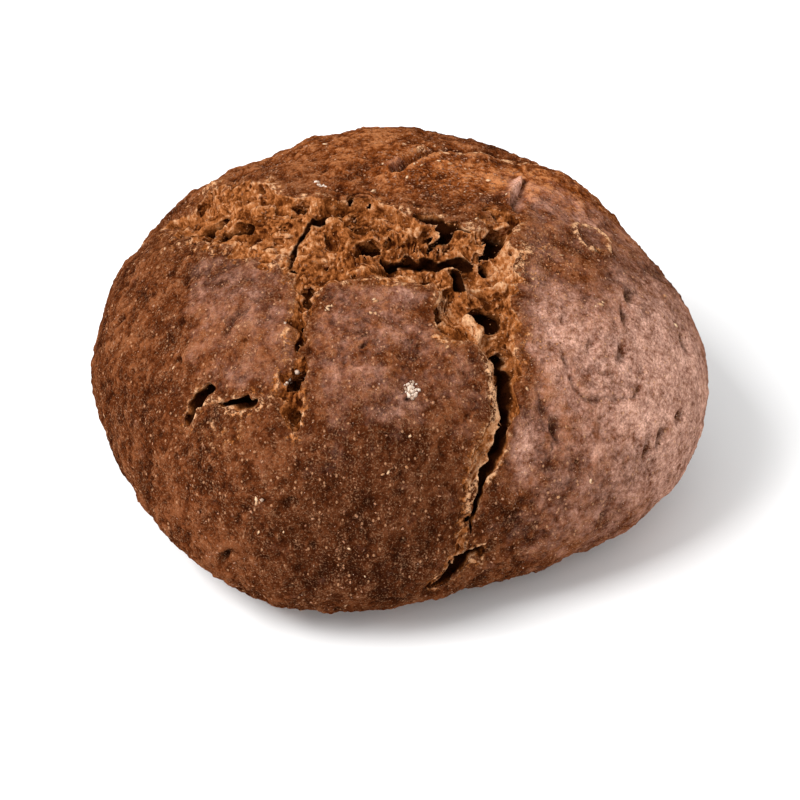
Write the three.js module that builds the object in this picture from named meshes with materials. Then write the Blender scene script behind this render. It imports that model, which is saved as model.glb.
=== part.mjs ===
// A round hearth loaf of dark carob bread, its crust torn open across the crown and split down the front.
// Millimetres, +Z up. The loaf stands on z = 0 with its box centred on the Z axis, and its front faces -Y.

import * as THREE from "three";
import { mergeVertices } from "three/addons/utils/BufferGeometryUtils.js";

const { clamp, degToRad, lerp, smoothstep } = THREE.MathUtils;

// Size and form of the whole loaf
const PLAN_RADIUS = 80; // mean radius at the waist
const HEIGHT = 86; // from the foot to the crown
const WAIST_HEIGHT = 30; // level of the widest section
const FOOT_RADIUS = 58; // flat underside
const SECTION_POWER = 2.2; // roundness of the upright section: 2 is an ellipse, more is squarer
const CROWN_LEAN = new THREE.Vector2(0.5, 6.5); // how far the crown leans to the right and to the back
const PLAN_LOBES = [ // slow waves of the plan outline, each turned to a bearing in degrees
  { waves: 2, swell: 4.0, bearing: 4 },
  { waves: 3, swell: 1.8, bearing: -11 },
  { waves: 4, swell: 2.7, bearing: -16.5 },
];

// The crust map lays the crust flat round the crown: u runs to the right, v to the back, both in
// millimetres. A place's distance from the map's middle is its angle from the crown times this radius.
const MAP_RADIUS = 65;

// Broad swells (rise above 0) and dents (below 0) of the crust
const SWELLS = [
  { at: [-16, 44], reach: 20, rise: 1.6 },
  { at: [-64, 22], reach: 13, rise: -2.6 },
  { at: [50, 33], reach: 10, rise: 2.2 },
  { at: [76, 14], reach: 15, rise: -1.3 },
  { at: [-56, -92], reach: 16, rise: 1.2 },
  { at: [-92, -60], reach: 13, rise: -1.0 },
  { at: [-44, -33], reach: 13, rise: 1.4 },
  { at: [-5, -62], reach: 17, rise: 1.6 },
  { at: [-45, -75], reach: 13, rise: 1.3 },
  { at: [54, -40], reach: 19, rise: 1.2 },
];
const UNEVEN_CRUST = [ // random unevenness of the crust: size of its humps and how far they rise
  { size: 21, rise: 0.9 },
  { size: 9, rise: 0.5 },
];

// Torn hollows: closed outlines of bare crumb where the crust has come away, and the depth of their floor
const HOLLOWS = [
  { // the wide tear over the crown
    floor: 4.6,
    outline: [
      [-73, 30], [-58, 25], [-42, 17], [-36, 4], [-20, 6], [-8, 5], [1, -2], [9, -8], [22, -9], [29, 3],
      [36, 1], [38, -26], [22, -33], [9, -33], [-8, -31], [-24, -31], [-39, -20], [-55, -6], [-64, 9],
    ],
  },
  { // the tear from there down to the head of the front split
    floor: 4.4,
    outline: [
      [24, -26], [13, -33], [12, -43], [13, -48], [22, -48], [28, -54], [29, -63], [31, -70],
      [35, -64], [38, -57], [38, -50], [37, -40], [38, -28],
    ],
  },
];
const WALL_RUN = 2.6; // how far a hollow runs in from its lip before it is at its full depth
const LIP_CURL = { reach: 5, rise: 0.7 }; // the crust stands up a little along a hollow's lip
const CRUMB_CRAGS = [ // rough crumb on the floor of a hollow
  { size: 7, rise: 1.9 },
  { size: 3.4, rise: 1.3 },
];

// Cracks: their routes, the gap between the lips at the two ends and the depth
const CRACKS = [
  { // the front split, from the torn crumb down towards the foot
    route: [[27, -41], [27, -46], [33, -51], [31, -60], [31, -67], [26, -78], [24, -91]],
    gap: [6, 3.2],
    depth: 13,
  },
  { // its fork at the foot
    route: [[34, -96], [29, -99], [20, -105], [11, -112]],
    gap: [4.6, 4.6],
    depth: 9,
  },
  { // the seam from the split to that fork
    route: [[24, -88], [25, -94], [29, -99]],
    gap: [2.4, 2.4],
    depth: 3,
  },
  { // the left split, down from the tear
    route: [[-25, -29], [-25, -38], [-26, -47], [-27, -57], [-27, -67]],
    gap: [5, 3.2],
    depth: 7,
  },
  { // the left slit
    route: [[-60, -56], [-57, -51], [-52, -50], [-47, -52]],
    gap: [3.6, 3.4],
    depth: 12,
  },
  { // the slit's tail, which runs into the left split
    route: [[-48, -53], [-43, -56], [-36, -57.5], [-27, -57]],
    gap: [3.2, 3.2],
    depth: 9,
  },
  { // the trench along the front of the tear
    route: [[-11, -20], [-4, -23], [10, -25], [24, -24]],
    gap: [3.8, 3.8],
    depth: 10,
  },
  { // the slit under the tear's rear lip
    route: [[-17, 4], [-9, 3.5], [-1, 1]],
    gap: [3.2, 3],
    depth: 9,
  },
  { // a short crack behind the crown
    route: [[1, 20], [4, 26], [10, 30]],
    gap: [2.4, 2.4],
    depth: 2.5,
  },
  { // the seam over the right shoulder
    route: [[34, 2], [37, 13], [39, 27], [37, 36]],
    gap: [3, 2.2],
    depth: 2.5,
  },
  { // the seam behind it, round to the right
    route: [[10, 34], [26, 38], [44, 37], [58, 41], [70, 51]],
    gap: [2.4, 2.6],
    depth: 3,
  },
  { // the end of the tear, down the left side
    route: [[-66, 25], [-79, 33], [-90, 34], [-103, 40]],
    gap: [6, 3],
    depth: 6,
  },
  { // the split in the back
    route: [[-16, 58], [-20, 72], [-15, 85], [-19, 98]],
    gap: [3, 3.4],
    depth: 6,
  },
  { // the split at the back's right
    route: [[46, 62], [54, 74], [50, 88]],
    gap: [2.8, 3],
    depth: 5,
  },
];
const RAGGED_LIP = { size: 2.6, rise: 0.9 }; // unevenness of a crack's lips
const CRACK_END = 0.12; // share of a crack's length over which it closes at each end
const CRACK_FLOOR_SHARE = 0.25; // floor width over the gap at the lips
const VALLEY = { reach: 6, drop: 1.5 }; // rounded sinking of the crust towards a crack

// Pockets in the torn crumb: half sizes along and across their own bearing, in degrees on the map
const POCKETS = [
  { at: [-53, 4], half: [4.4, 2.6], bearing: -35, depth: 9 },
  { at: [-44, -3], half: [3.6, 2.4], bearing: -40, depth: 9 },
  { at: [-20, -4], half: [5.6, 3.4], bearing: 40, depth: 11 },
  { at: [-29, -20], half: [5.4, 2.2], bearing: 90, depth: 9 },
  { at: [12, -12], half: [4.8, 2.8], bearing: -60, depth: 9 },
  { at: [21, -12], half: [3.4, 1.8], bearing: -20, depth: 8 },
  { at: [31, -14], half: [5.6, 3.8], bearing: 90, depth: 12 },
  { at: [29, -24], half: [2.4, 2.0], bearing: 90, depth: 8 },
  { at: [26, -41], half: [4.4, 3.2], bearing: -30, depth: 12 },
  { at: [13.5, -43], half: [4.8, 2.1], bearing: 80, depth: 9 },
];

// Fineness of the solid: longest edges where the crust is torn, elsewhere on it and on the foot
const FIRST_DETAIL = 4; // splits of the icosahedron that the loaf starts from
const TORN_EDGE = 2.75;
const CRUST_EDGE = 7.5;
const FOOT_EDGE = 16;
const FINE_REACH = 6; // how far from a crack or a lip the edges reach their full length
const LINE_STEP = 2.5; // spacing of the points that stand for a route or an outline

// Random draws: multipliers that mix a lattice corner's numbers, and the layer kept for the ragged lips
const MIXERS = { column: 374761393, row: 668265263, layer: 1274126177, last: 1103515245 };
const RAGGED_LAYER = 3;

const CRUST_FINISH = { color: 0x7a4a2d, roughness: 0.86, metalness: 0 };

const CROWN_RISE = HEIGHT - WAIST_HEIGHT;
const LOWER_RISE = WAIST_HEIGHT / (1 - (FOOT_RADIUS / PLAN_RADIUS) ** SECTION_POWER) ** (1 / SECTION_POWER);
const FOOT_ANGLE = Math.PI - Math.atan2(FOOT_RADIUS, WAIST_HEIGHT);
const MAP_MIDDLE = new THREE.Vector2(0, 0);

// A smooth line through places of the crust map, as closely spaced points
function smoothLine(places, closed = false) {
  const curve = new THREE.SplineCurve(places.map(([u, v]) => new THREE.Vector2(u, v)));
  if (closed) {
    curve.points.push(curve.points[0].clone());
  }
  return curve.getSpacedPoints(Math.ceil(curve.getLength() / LINE_STEP));
}

const hollows = HOLLOWS.map((hollow) => ({ ...hollow, line: smoothLine(hollow.outline, true) }));
const cracks = CRACKS.map((crack) => ({ ...crack, line: smoothLine(crack.route) }));

// Repeatable random value from 0 to 1 at a corner of the noise lattice
function latticeValue(column, row, layer) {
  const corner = Math.imul(column, MIXERS.column) ^ Math.imul(row, MIXERS.row);
  const start = corner ^ Math.imul(layer + 1, MIXERS.layer);
  const mixed = Math.imul(start ^ (start >>> 13), MIXERS.last);
  return ((mixed ^ (mixed >>> 16)) >>> 0) / 2 ** 32;
}

// Smooth noise on the crust map, with humps of the given size that rise and fall by the given height
function noise(place, { size, rise }, layer) {
  const [x, y] = [place.x / size, place.y / size];
  const [column, row] = [Math.floor(x), Math.floor(y)];
  const [across, along] = [smoothstep(x - column, 0, 1), smoothstep(y - row, 0, 1)];
  const near = lerp(latticeValue(column, row, layer), latticeValue(column + 1, row, layer), across);
  const far = lerp(latticeValue(column, row + 1, layer), latticeValue(column + 1, row + 1, layer), across);
  return rise * (2 * lerp(near, far, along) - 1);
}

// Several sizes of noise together
function roughness(place, layers) {
  return layers.reduce((sum, layer, index) => sum + noise(place, layer, index), 0);
}

// Distance from a place to a line, and how far along the line its nearest point is, from 0 to 1
function measureTo(place, line) {
  let [shortest, share] = [Infinity, 0];
  for (let i = 1; i < line.length; i += 1) {
    const span = line[i].clone().sub(line[i - 1]);
    const off = place.clone().sub(line[i - 1]);
    const passed = clamp(off.dot(span) / span.lengthSq(), 0, 1);
    const distance = off.addScaledVector(span, -passed).length();
    if (distance < shortest) {
      [shortest, share] = [distance, (i - 1 + passed) / (line.length - 1)];
    }
  }
  return { distance: shortest, share };
}

// Whether a place lies inside a closed line
function isInside(place, line) {
  let inside = false;
  for (let i = 1; i < line.length; i += 1) {
    const [a, b] = [line[i - 1], line[i]];
    const crossing = a.x + ((b.x - a.x) * (place.y - a.y)) / (b.y - a.y);
    if (a.y > place.y !== b.y > place.y && place.x < crossing) {
      inside = !inside;
    }
  }
  return inside;
}

// A hump that is 1 at its middle and fades over its reach
function fade(distance, reach) {
  return Math.exp(-((distance / reach) ** 2));
}

// Height of a swell at a place, below 0 in a dent
function swellRise(place, { at, reach, rise }) {
  return rise * fade(Math.hypot(place.x - at[0], place.y - at[1]), reach);
}

// How deep a hollow is at a place, below 0 where its lip curls up round it
function hollowDepth(place, { line, floor }) {
  const { distance } = measureTo(place, line);
  if (!isInside(place, line)) {
    return -LIP_CURL.rise * fade(distance, LIP_CURL.reach);
  }
  return smoothstep(distance, 0, WALL_RUN) * (floor + roughness(place, CRUMB_CRAGS));
}

// How deep a crack is at a place
function crackDepth(place, { line, gap, depth }) {
  const { distance, share } = measureTo(place, line);
  const opening = Math.sqrt(clamp(Math.min(share, 1 - share) / CRACK_END, 0, 1));
  const half = opening * (lerp(gap[0], gap[1], share) / 2 + noise(place, RAGGED_LIP, RAGGED_LAYER));
  if (half <= distance) {
    return 0;
  }
  return depth * opening * Math.min(1, (half - distance) / (half * (1 - CRACK_FLOOR_SHARE)));
}

// How deep a pocket is at a place
function pocketDepth(place, { at, half, bearing, depth }) {
  const off = new THREE.Vector2(place.x - at[0], place.y - at[1]);
  off.rotateAround(MAP_MIDDLE, -degToRad(bearing));
  const out = Math.hypot(off.x / half[0], off.y / half[1]);
  return out < 1 ? depth * Math.sqrt(1 - out * out) : 0;
}

// Rise of the loaf's surface above the smooth form at a place of the crust map
function relief(place) {
  const swells = SWELLS.reduce((sum, swell) => sum + swellRise(place, swell), 0);
  const toCrack = Math.min(...cracks.map(({ line }) => measureTo(place, line).distance));
  const crust = swells + roughness(place, UNEVEN_CRUST) - VALLEY.drop * fade(toCrack, VALLEY.reach);
  const depths = [
    ...hollows.map((hollow) => hollowDepth(place, hollow)),
    ...cracks.map((crack) => crackDepth(place, crack)),
    ...POCKETS.map((pocket) => pocketDepth(place, pocket)),
  ];
  const deepest = Math.max(...depths);
  return deepest > 0 ? crust - deepest : crust - Math.min(...depths);
}

// Distance from the heart of the loaf, on its axis at the waist, to the smooth form
function formRadius(polar, bearing) {
  const plan = PLAN_LOBES.reduce((sum, lobe) => {
    return sum + lobe.swell * Math.cos(lobe.waves * (bearing - degToRad(lobe.bearing)));
  }, PLAN_RADIUS);
  const rise = Math.cos(polar) > 0 ? CROWN_RISE : LOWER_RISE;
  const outward = Math.abs(Math.sin(polar) / plan) ** SECTION_POWER;
  const upward = Math.abs(Math.cos(polar) / rise) ** SECTION_POWER;
  return (outward + upward) ** (-1 / SECTION_POWER);
}

// Angle from the crown of a direction seen from the heart
function polarAngle(direction) {
  return Math.acos(clamp(direction.z, -1, 1));
}

// The place on the crust map that lies in a direction
function mapPlace(direction) {
  const bearing = Math.atan2(direction.y, direction.x);
  return new THREE.Vector2(MAP_RADIUS * polarAngle(direction), 0).rotateAround(MAP_MIDDLE, bearing);
}

// The point of the loaf's surface in a direction from its heart, with the smooth form lifted by a rise.
// What would lie under the foot slides back along its ray onto the foot.
function surfacePoint(direction, rise) {
  const reach = formRadius(polarAngle(direction), Math.atan2(direction.y, direction.x)) + rise;
  const drop = -direction.z * reach;
  const share = drop > WAIST_HEIGHT ? WAIST_HEIGHT / drop : 1;
  const point = direction.clone().multiplyScalar(reach * share);
  point.z = share < 1 ? 0 : point.z + WAIST_HEIGHT;
  point.x += (CROWN_LEAN.x * point.z) / HEIGHT;
  point.y += (CROWN_LEAN.y * point.z) / HEIGHT;
  return point;
}

// Longest edge wanted in a direction
function wantedEdge(direction) {
  if (polarAngle(direction) > FOOT_ANGLE) {
    return FOOT_EDGE;
  }
  const place = mapPlace(direction);
  if (hollows.some(({ line }) => isInside(place, line))) {
    return TORN_EDGE;
  }
  const toTorn = Math.min(...[...hollows, ...cracks].map(({ line }) => measureTo(place, line).distance));
  return lerp(TORN_EDGE, CRUST_EDGE, clamp(toTorn / FINE_REACH, 0, 1));
}

// Splits a triangle of directions at its longest edge until no edge is longer than is wanted there
function splitTriangle(corners, triangles) {
  const edges = corners.map((corner, i) => {
    const next = corners[(i + 1) % 3];
    const middle = corner.clone().add(next).normalize();
    const length = surfacePoint(corner, 0).distanceTo(surfacePoint(next, 0));
    return { i, middle, excess: length / wantedEdge(middle) };
  });
  const { i, middle, excess } = edges.reduce((worst, edge) => (edge.excess > worst.excess ? edge : worst));
  if (excess <= 1) {
    triangles.push(...corners);
    return;
  }
  const [a, b, c] = [corners[i], corners[(i + 1) % 3], corners[(i + 2) % 3]];
  splitTriangle([a, middle, c], triangles);
  splitTriangle([middle, b, c], triangles);
}

// The loaf as a closed geometry, with its box centred over the origin
function loafGeometry() {
  const start = new THREE.IcosahedronGeometry(1, FIRST_DETAIL).getAttribute("position");
  const directions = [];
  for (let i = 0; i < start.count; i += 3) {
    const corners = [0, 1, 2].map((corner) => new THREE.Vector3().fromBufferAttribute(start, i + corner));
    splitTriangle(corners, directions);
  }
  const points = directions.map((direction) => surfacePoint(direction, relief(mapPlace(direction))));
  const geometry = mergeVertices(new THREE.BufferGeometry().setFromPoints(points));
  geometry.computeBoundingBox();
  const middle = geometry.boundingBox.getCenter(new THREE.Vector3());
  geometry.translate(-middle.x, -middle.y, 0);
  geometry.computeVertexNormals();
  return geometry;
}

const loaf = new THREE.Mesh(loafGeometry(), new THREE.MeshStandardMaterial(CRUST_FINISH));
loaf.name = "loaf";

const bread = new THREE.Group();
bread.add(loaf);

export default bread;
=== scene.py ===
"""Dresses the carob bread loaf: its crust, the torn crumb in its cracks, and the bran and flour on it.

Sizes on the loaf are in millimetres, as in the part's source, and the scene is in metres. The crust map lays
the crust flat round the crown: u runs to the right and v to the back.
"""

from __future__ import annotations

import logging
import math
from collections.abc import Sequence
from dataclasses import dataclass
from enum import Enum

import bpy
import numpy as np
import openvdb
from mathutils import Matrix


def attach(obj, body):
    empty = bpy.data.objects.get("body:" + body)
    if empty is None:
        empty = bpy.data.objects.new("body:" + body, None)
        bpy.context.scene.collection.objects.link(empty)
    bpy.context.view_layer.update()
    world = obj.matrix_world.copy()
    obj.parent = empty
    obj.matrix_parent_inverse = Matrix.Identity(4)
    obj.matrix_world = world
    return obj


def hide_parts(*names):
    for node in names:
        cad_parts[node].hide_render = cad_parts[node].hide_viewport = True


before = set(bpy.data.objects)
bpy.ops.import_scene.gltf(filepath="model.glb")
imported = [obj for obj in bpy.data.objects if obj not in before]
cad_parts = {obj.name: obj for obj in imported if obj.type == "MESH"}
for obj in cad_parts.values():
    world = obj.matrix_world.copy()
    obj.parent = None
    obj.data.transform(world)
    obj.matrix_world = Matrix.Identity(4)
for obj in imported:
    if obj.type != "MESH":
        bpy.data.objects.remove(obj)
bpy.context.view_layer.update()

logger = logging.getLogger("loaf")

MM = 0.001
NODE = "loaf"
BODY = "root"
FAR = 99.0
MOSTLY = 0.5
HALF_TURN = 180.0

Pair = tuple[float, float]
Triple = tuple[float, float, float]
Range = tuple[float, float, float, float]
Recipe = tuple[tuple[str, float], ...]
Values = np.ndarray
Window = tuple[slice, slice]
Socket = bpy.types.NodeSocket


def smooth_step(values: Values, start: float | Values, end: float | Values) -> Values:
    """Rises smoothly from 0 at start to 1 at end."""
    share = np.clip((values - start) / (end - start), 0.0, 1.0)
    return share * share * (3.0 - 2.0 * share)


def fade(distance: Values, reach: float) -> Values:
    """A hump that is 1 at its middle and fades over its reach."""
    return np.exp(-((distance / reach) ** 2))


def turned(u: Values, v: Values, at: Pair, bearing: float) -> tuple[Values, Values]:
    """Places on the map as seen from a spot that is turned to a bearing.

    Args:
        u: Places to the right, in millimetres.
        v: Places to the back, in millimetres.
        at: The spot.
        bearing: Turn of the spot in degrees.

    Returns:
        The distances along and across the bearing.
    """
    turn = math.radians(bearing)
    off_u = u - at[0]
    off_v = v - at[1]
    along = off_u * math.cos(turn) + off_v * math.sin(turn)
    across = off_v * math.cos(turn) - off_u * math.sin(turn)
    return along, across


@dataclass(frozen=True)
class Lobe:
    """A slow wave of the plan outline, turned to a bearing in degrees."""

    waves: int
    swell: float
    bearing: float


@dataclass(frozen=True)
class Swell:
    """A broad rise of the crust, or a dent where its rise is below 0."""

    at: Pair
    reach: float
    rise: float


@dataclass(frozen=True)
class Hump:
    """Random unevenness: the size of its humps and how far they rise and fall."""

    size: float
    rise: float


@dataclass(frozen=True)
class Hollow:
    """A closed outline of bare crumb where the crust has come away, with its floor's depth and crags."""

    floor: float
    outline: tuple[Pair, ...]
    crags: float = 0.28


@dataclass(frozen=True)
class Crack:
    """A crack along a route, with the gap between its lips at both ends and its depth."""

    route: tuple[Pair, ...]
    gap: Pair
    depth: float

    def gap_at(self, share: Values) -> Values:
        """The gap between the lips at shares of the route."""
        return self.gap[0] + (self.gap[1] - self.gap[0]) * share


@dataclass(frozen=True)
class Ridge:
    """A rise along a route, such as a curled edge of crust, with its half width."""

    route: tuple[Pair, ...]
    half: float
    rise: float

    def height(self, distance: Values) -> Values:
        """Its height at distances from the route."""
        return self.rise * fade(distance, self.half)


@dataclass(frozen=True)
class Roll:
    """A rise along an edge that fades over its reach, or a valley where its rise is below 0."""

    reach: float
    rise: float

    def height(self, distance: Values) -> Values:
        """Its height at distances from the edge."""
        return self.rise * fade(distance, self.reach)


@dataclass(frozen=True)
class Plate:
    """A closed outline with a haze of flour and painted sheen inside it, how strong that is and how soft its
    edge.
    """

    outline: tuple[Pair, ...]
    strength: float
    softness: float


@dataclass(frozen=True)
class Pocket:
    """A cave in the torn crumb, with half sizes along and across its bearing in degrees."""

    at: Pair
    half: Pair
    bearing: float
    depth: float


@dataclass(frozen=True)
class Patch:
    """A soft-edged patch of a finish on the crust map, as strong in its middle as its strength says."""

    at: Pair
    half: Pair
    bearing: float
    strength: float

    def cover(self, u: Values, v: Values) -> Values:
        """How strongly the patch covers each place of the map."""
        along, across = turned(u, v, self.at, self.bearing)
        return self.strength * np.exp(-((along / self.half[0]) ** 2) - (across / self.half[1]) ** 2)


def covered(patches: Sequence[Patch], u: Values, v: Values) -> Values:
    """How strongly several patches together cover each place of the map."""
    return sum(patch.cover(u, v) for patch in patches)


@dataclass(frozen=True)
class LoafForm:
    """The smooth form of the loaf, with its heart on the axis at the waist."""

    plan_radius: float = 80.0
    height: float = 86.0
    waist_height: float = 30.0
    foot_radius: float = 58.0
    section_power: float = 2.2
    crown_lean: Pair = (0.5, 6.5)
    lobes: tuple[Lobe, ...] = (Lobe(2, 4.0, 4.0), Lobe(3, 1.8, -11.0), Lobe(4, 2.7, -16.5))
    map_radius: float = 65.0
    box_middle: Pair = (1.79, 2.526)
    nearest_axis: float = 1e-4

    @property
    def lower_rise(self) -> float:
        """How far the form would reach below the waist if the foot were not flat."""
        power = self.section_power
        return self.waist_height / (1.0 - (self.foot_radius / self.plan_radius) ** power) ** (1.0 / power)

    def radius(self, polar: Values, bearing: Values) -> Values:
        """Distance from the heart to the form.

        Args:
            polar: Angles from the crown, in radians.
            bearing: Angles in plan from the right, in radians.

        Returns:
            The distances in millimetres.
        """
        plan = np.full_like(bearing, self.plan_radius)
        for lobe in self.lobes:
            plan += lobe.swell * np.cos(lobe.waves * (bearing - math.radians(lobe.bearing)))
        upright = np.cos(polar)
        rise = np.where(upright > 0, self.height - self.waist_height, self.lower_rise).astype(plan.dtype)
        outward = np.abs(np.sin(polar) / plan) ** self.section_power
        upward = np.abs(upright / rise) ** self.section_power
        return (outward + upward) ** (-1.0 / self.section_power)

    def lay_flat(self, points: Values) -> tuple[Values, Values, Values]:
        """Finds where points lie on the crust map.

        Args:
            points: Points in millimetres, in the form's own frame.

        Returns:
            Their u and v on the map, and how far outside the smooth form they are.
        """
        lean = points[:, 2] / self.height
        x = points[:, 0] - self.crown_lean[0] * lean
        y = points[:, 1] - self.crown_lean[1] * lean
        z = points[:, 2] - self.waist_height
        across = np.hypot(x, y)
        polar = np.arctan2(across, z)
        outside = np.hypot(across, z) - self.radius(polar, np.arctan2(y, x))
        scale = self.map_radius * polar / np.maximum(across, self.nearest_axis)
        return x * scale, y * scale, outside

    def to_scene(self, points: Values) -> Values:
        """Points of the form's own frame in the shared frame, in metres."""
        return (points - np.array([*self.box_middle, 0.0])) * MM

    def from_scene(self, points: Values) -> Values:
        """Points of the shared frame in the form's own frame, in millimetres."""
        return points / MM + np.array([*self.box_middle, 0.0])


@dataclass(frozen=True)
class MapNoise:
    """Smooth random unevenness on the crust map, the same as the solid's."""

    column_mix: int = 374761393
    row_mix: int = 668265263
    layer_mix: int = 1274126177
    last_mix: int = 1103515245
    whole: int = 0xFFFFFFFF
    first_shift: int = 13
    last_shift: int = 16

    def corner(self, column: Values, row: Values, layer: int) -> Values:
        """Repeatable random values from 0 to 1 at corners of the lattice.

        Args:
            column: Whole numbers of the corners' columns.
            row: Whole numbers of their rows.
            layer: Which draw to take.

        Returns:
            One value for each corner.
        """
        start = (column * self.column_mix & self.whole) ^ (row * self.row_mix & self.whole)
        start = start ^ ((layer + 1) * self.layer_mix & self.whole)
        mixed = (start ^ (start >> self.first_shift)) * self.last_mix & self.whole
        return (mixed ^ (mixed >> self.last_shift)) / (self.whole + 1.0)

    def rise(self, u: Values, v: Values, hump: Hump, layer: int) -> Values:
        """Height of the unevenness at places of the map.

        Args:
            u: Places to the right.
            v: Places to the back.
            hump: Size and rise of the humps.
            layer: Which draw to take.

        Returns:
            Heights in millimetres.
        """
        column = np.floor(u / hump.size).astype(np.int64)
        row = np.floor(v / hump.size).astype(np.int64)
        across = smooth_step(u / hump.size - column, 0.0, 1.0)
        along = smooth_step(v / hump.size - row, 0.0, 1.0)
        rows = []
        for edge in (row, row + 1):
            left = self.corner(column, edge, layer)
            right = self.corner(column + 1, edge, layer)
            rows.append(left * (1 - across) + right * across)
        near, far = rows
        return hump.rise * (2.0 * (near * (1 - along) + far * along) - 1.0)

    def heap(self, u: Values, v: Values, humps: Sequence[Hump], first_layer: int = 0) -> Values:
        """Height of several layers of unevenness together, each with a draw of its own."""
        return sum(self.rise(u, v, hump, first_layer + layer) for layer, hump in enumerate(humps))


def smooth_line(places: Sequence[Pair], closed: bool = False, spacing: float = 1.0) -> Values:
    """Draws a smooth line through places of the crust map.

    Args:
        places: The places in order.
        closed: Whether the line comes back to its first place.
        spacing: Distance between the points that stand for the line.

    Returns:
        The line's points as rows of u and v.
    """
    ends = [*places, places[0]] if closed else list(places)
    knots = np.array([ends[0], *ends, ends[-1]])
    found = [knots[1:2]]
    for before, start, end, after in zip(knots, knots[1:], knots[2:], knots[3:]):
        steps = max(2, math.ceil(float(np.hypot(*(end - start))) / spacing))
        share = np.linspace(0.0, 1.0, steps + 1)[1:, None]
        leave = 0.5 * (end - before)
        arrive = 0.5 * (after - start)
        cube = 2.0 * (start - end) + leave + arrive
        square = 3.0 * (end - start) - 2.0 * leave - arrive
        found.append(start + share * (leave + share * (square + share * cube)))
    return np.concatenate(found)


def measure_to(u: Values, v: Values, line: Values) -> tuple[Values, Values]:
    """Measures places of the map to a line.

    Args:
        u: Places to the right.
        v: Places to the back.
        line: The line's points.

    Returns:
        Each place's distance to the line, and how far along the line its nearest point is, from 0 to 1.
    """
    spans = np.diff(line, axis=0)
    lengths = np.hypot(spans[:, 0], spans[:, 1])
    passed = np.concatenate([[0.0], np.cumsum(lengths)])
    shortest = np.full(u.shape, FAR)
    share = np.zeros(u.shape)
    for start, span, length, before in zip(line, spans, lengths, passed):
        off_u = u - start[0]
        off_v = v - start[1]
        part = np.clip((off_u * span[0] + off_v * span[1]) / length**2, 0.0, 1.0)
        distance = np.hypot(off_u - part * span[0], off_v - part * span[1])
        nearer = distance < shortest
        shortest = np.where(nearer, distance, shortest)
        share = np.where(nearer, (before + part * length) / passed[-1], share)
    return shortest, share


def is_inside(u: Values, v: Values, line: Values) -> Values:
    """Tells which places of the map lie inside a closed line.

    Args:
        u: Places to the right.
        v: Places to the back.
        line: The line's points.

    Returns:
        True for each place inside.
    """
    inside = np.zeros(u.shape, bool)
    for start, end in zip(line, line[1:]):
        if start[1] == end[1]:
            continue
        crossing = start[0] + (end[0] - start[0]) * (v - start[1]) / (end[1] - start[1])
        inside ^= ((start[1] > v) != (end[1] > v)) & (u < crossing)
    return inside


@dataclass(frozen=True)
class MapSpots:
    """Places of the crust map, ready to read any of its sheets."""

    first: Values
    row_length: int
    along: Values
    across: Values

    def read(self, sheet: Values) -> Values:
        """Reads a sheet at the places.

        Args:
            sheet: The sheet.

        Returns:
            One value for each place.
        """
        flat = sheet.ravel()
        low = flat[self.first] * (1 - self.across) + flat[self.first + 1] * self.across
        next_row = self.first + self.row_length
        high = flat[next_row] * (1 - self.across) + flat[next_row + 1] * self.across
        return low * (1 - self.along) + high * self.along


@dataclass(frozen=True)
class SmallPits:
    """The small pits all over the crust, drawn at random; those of the right plate are long and upright."""

    count: int = 150
    spread: Pair = (125.0, 115.0)
    right_plate: Pair = (38.0, 20.0)
    half: Pair = (0.55, 1.1)
    round_length: Pair = (1.0, 1.6)
    upright_length: Pair = (1.6, 2.6)
    upright_bearing: Pair = (100.0, 16.0)
    depth: Pair = (0.25, 0.65)
    seed: int = 7

    def pits(self) -> list[Pocket]:
        """Draws the pits.

        Returns:
            The pits in the order of their draws.
        """
        draw = np.random.default_rng(self.seed)
        found = []
        for _ in range(self.count):
            at = tuple(float(draw.uniform(-reach, reach)) for reach in self.spread)
            upright = at[0] > self.right_plate[0] and at[1] < self.right_plate[1]
            half = float(draw.uniform(*self.half))
            length = float(draw.uniform(*(self.upright_length if upright else self.round_length)))
            bearing = float(draw.normal(*self.upright_bearing) if upright else draw.uniform(0.0, HALF_TURN))
            depth = float(draw.uniform(*self.depth))
            found.append(Pocket(at, (half * length, half), bearing, depth))
        return found


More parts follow.
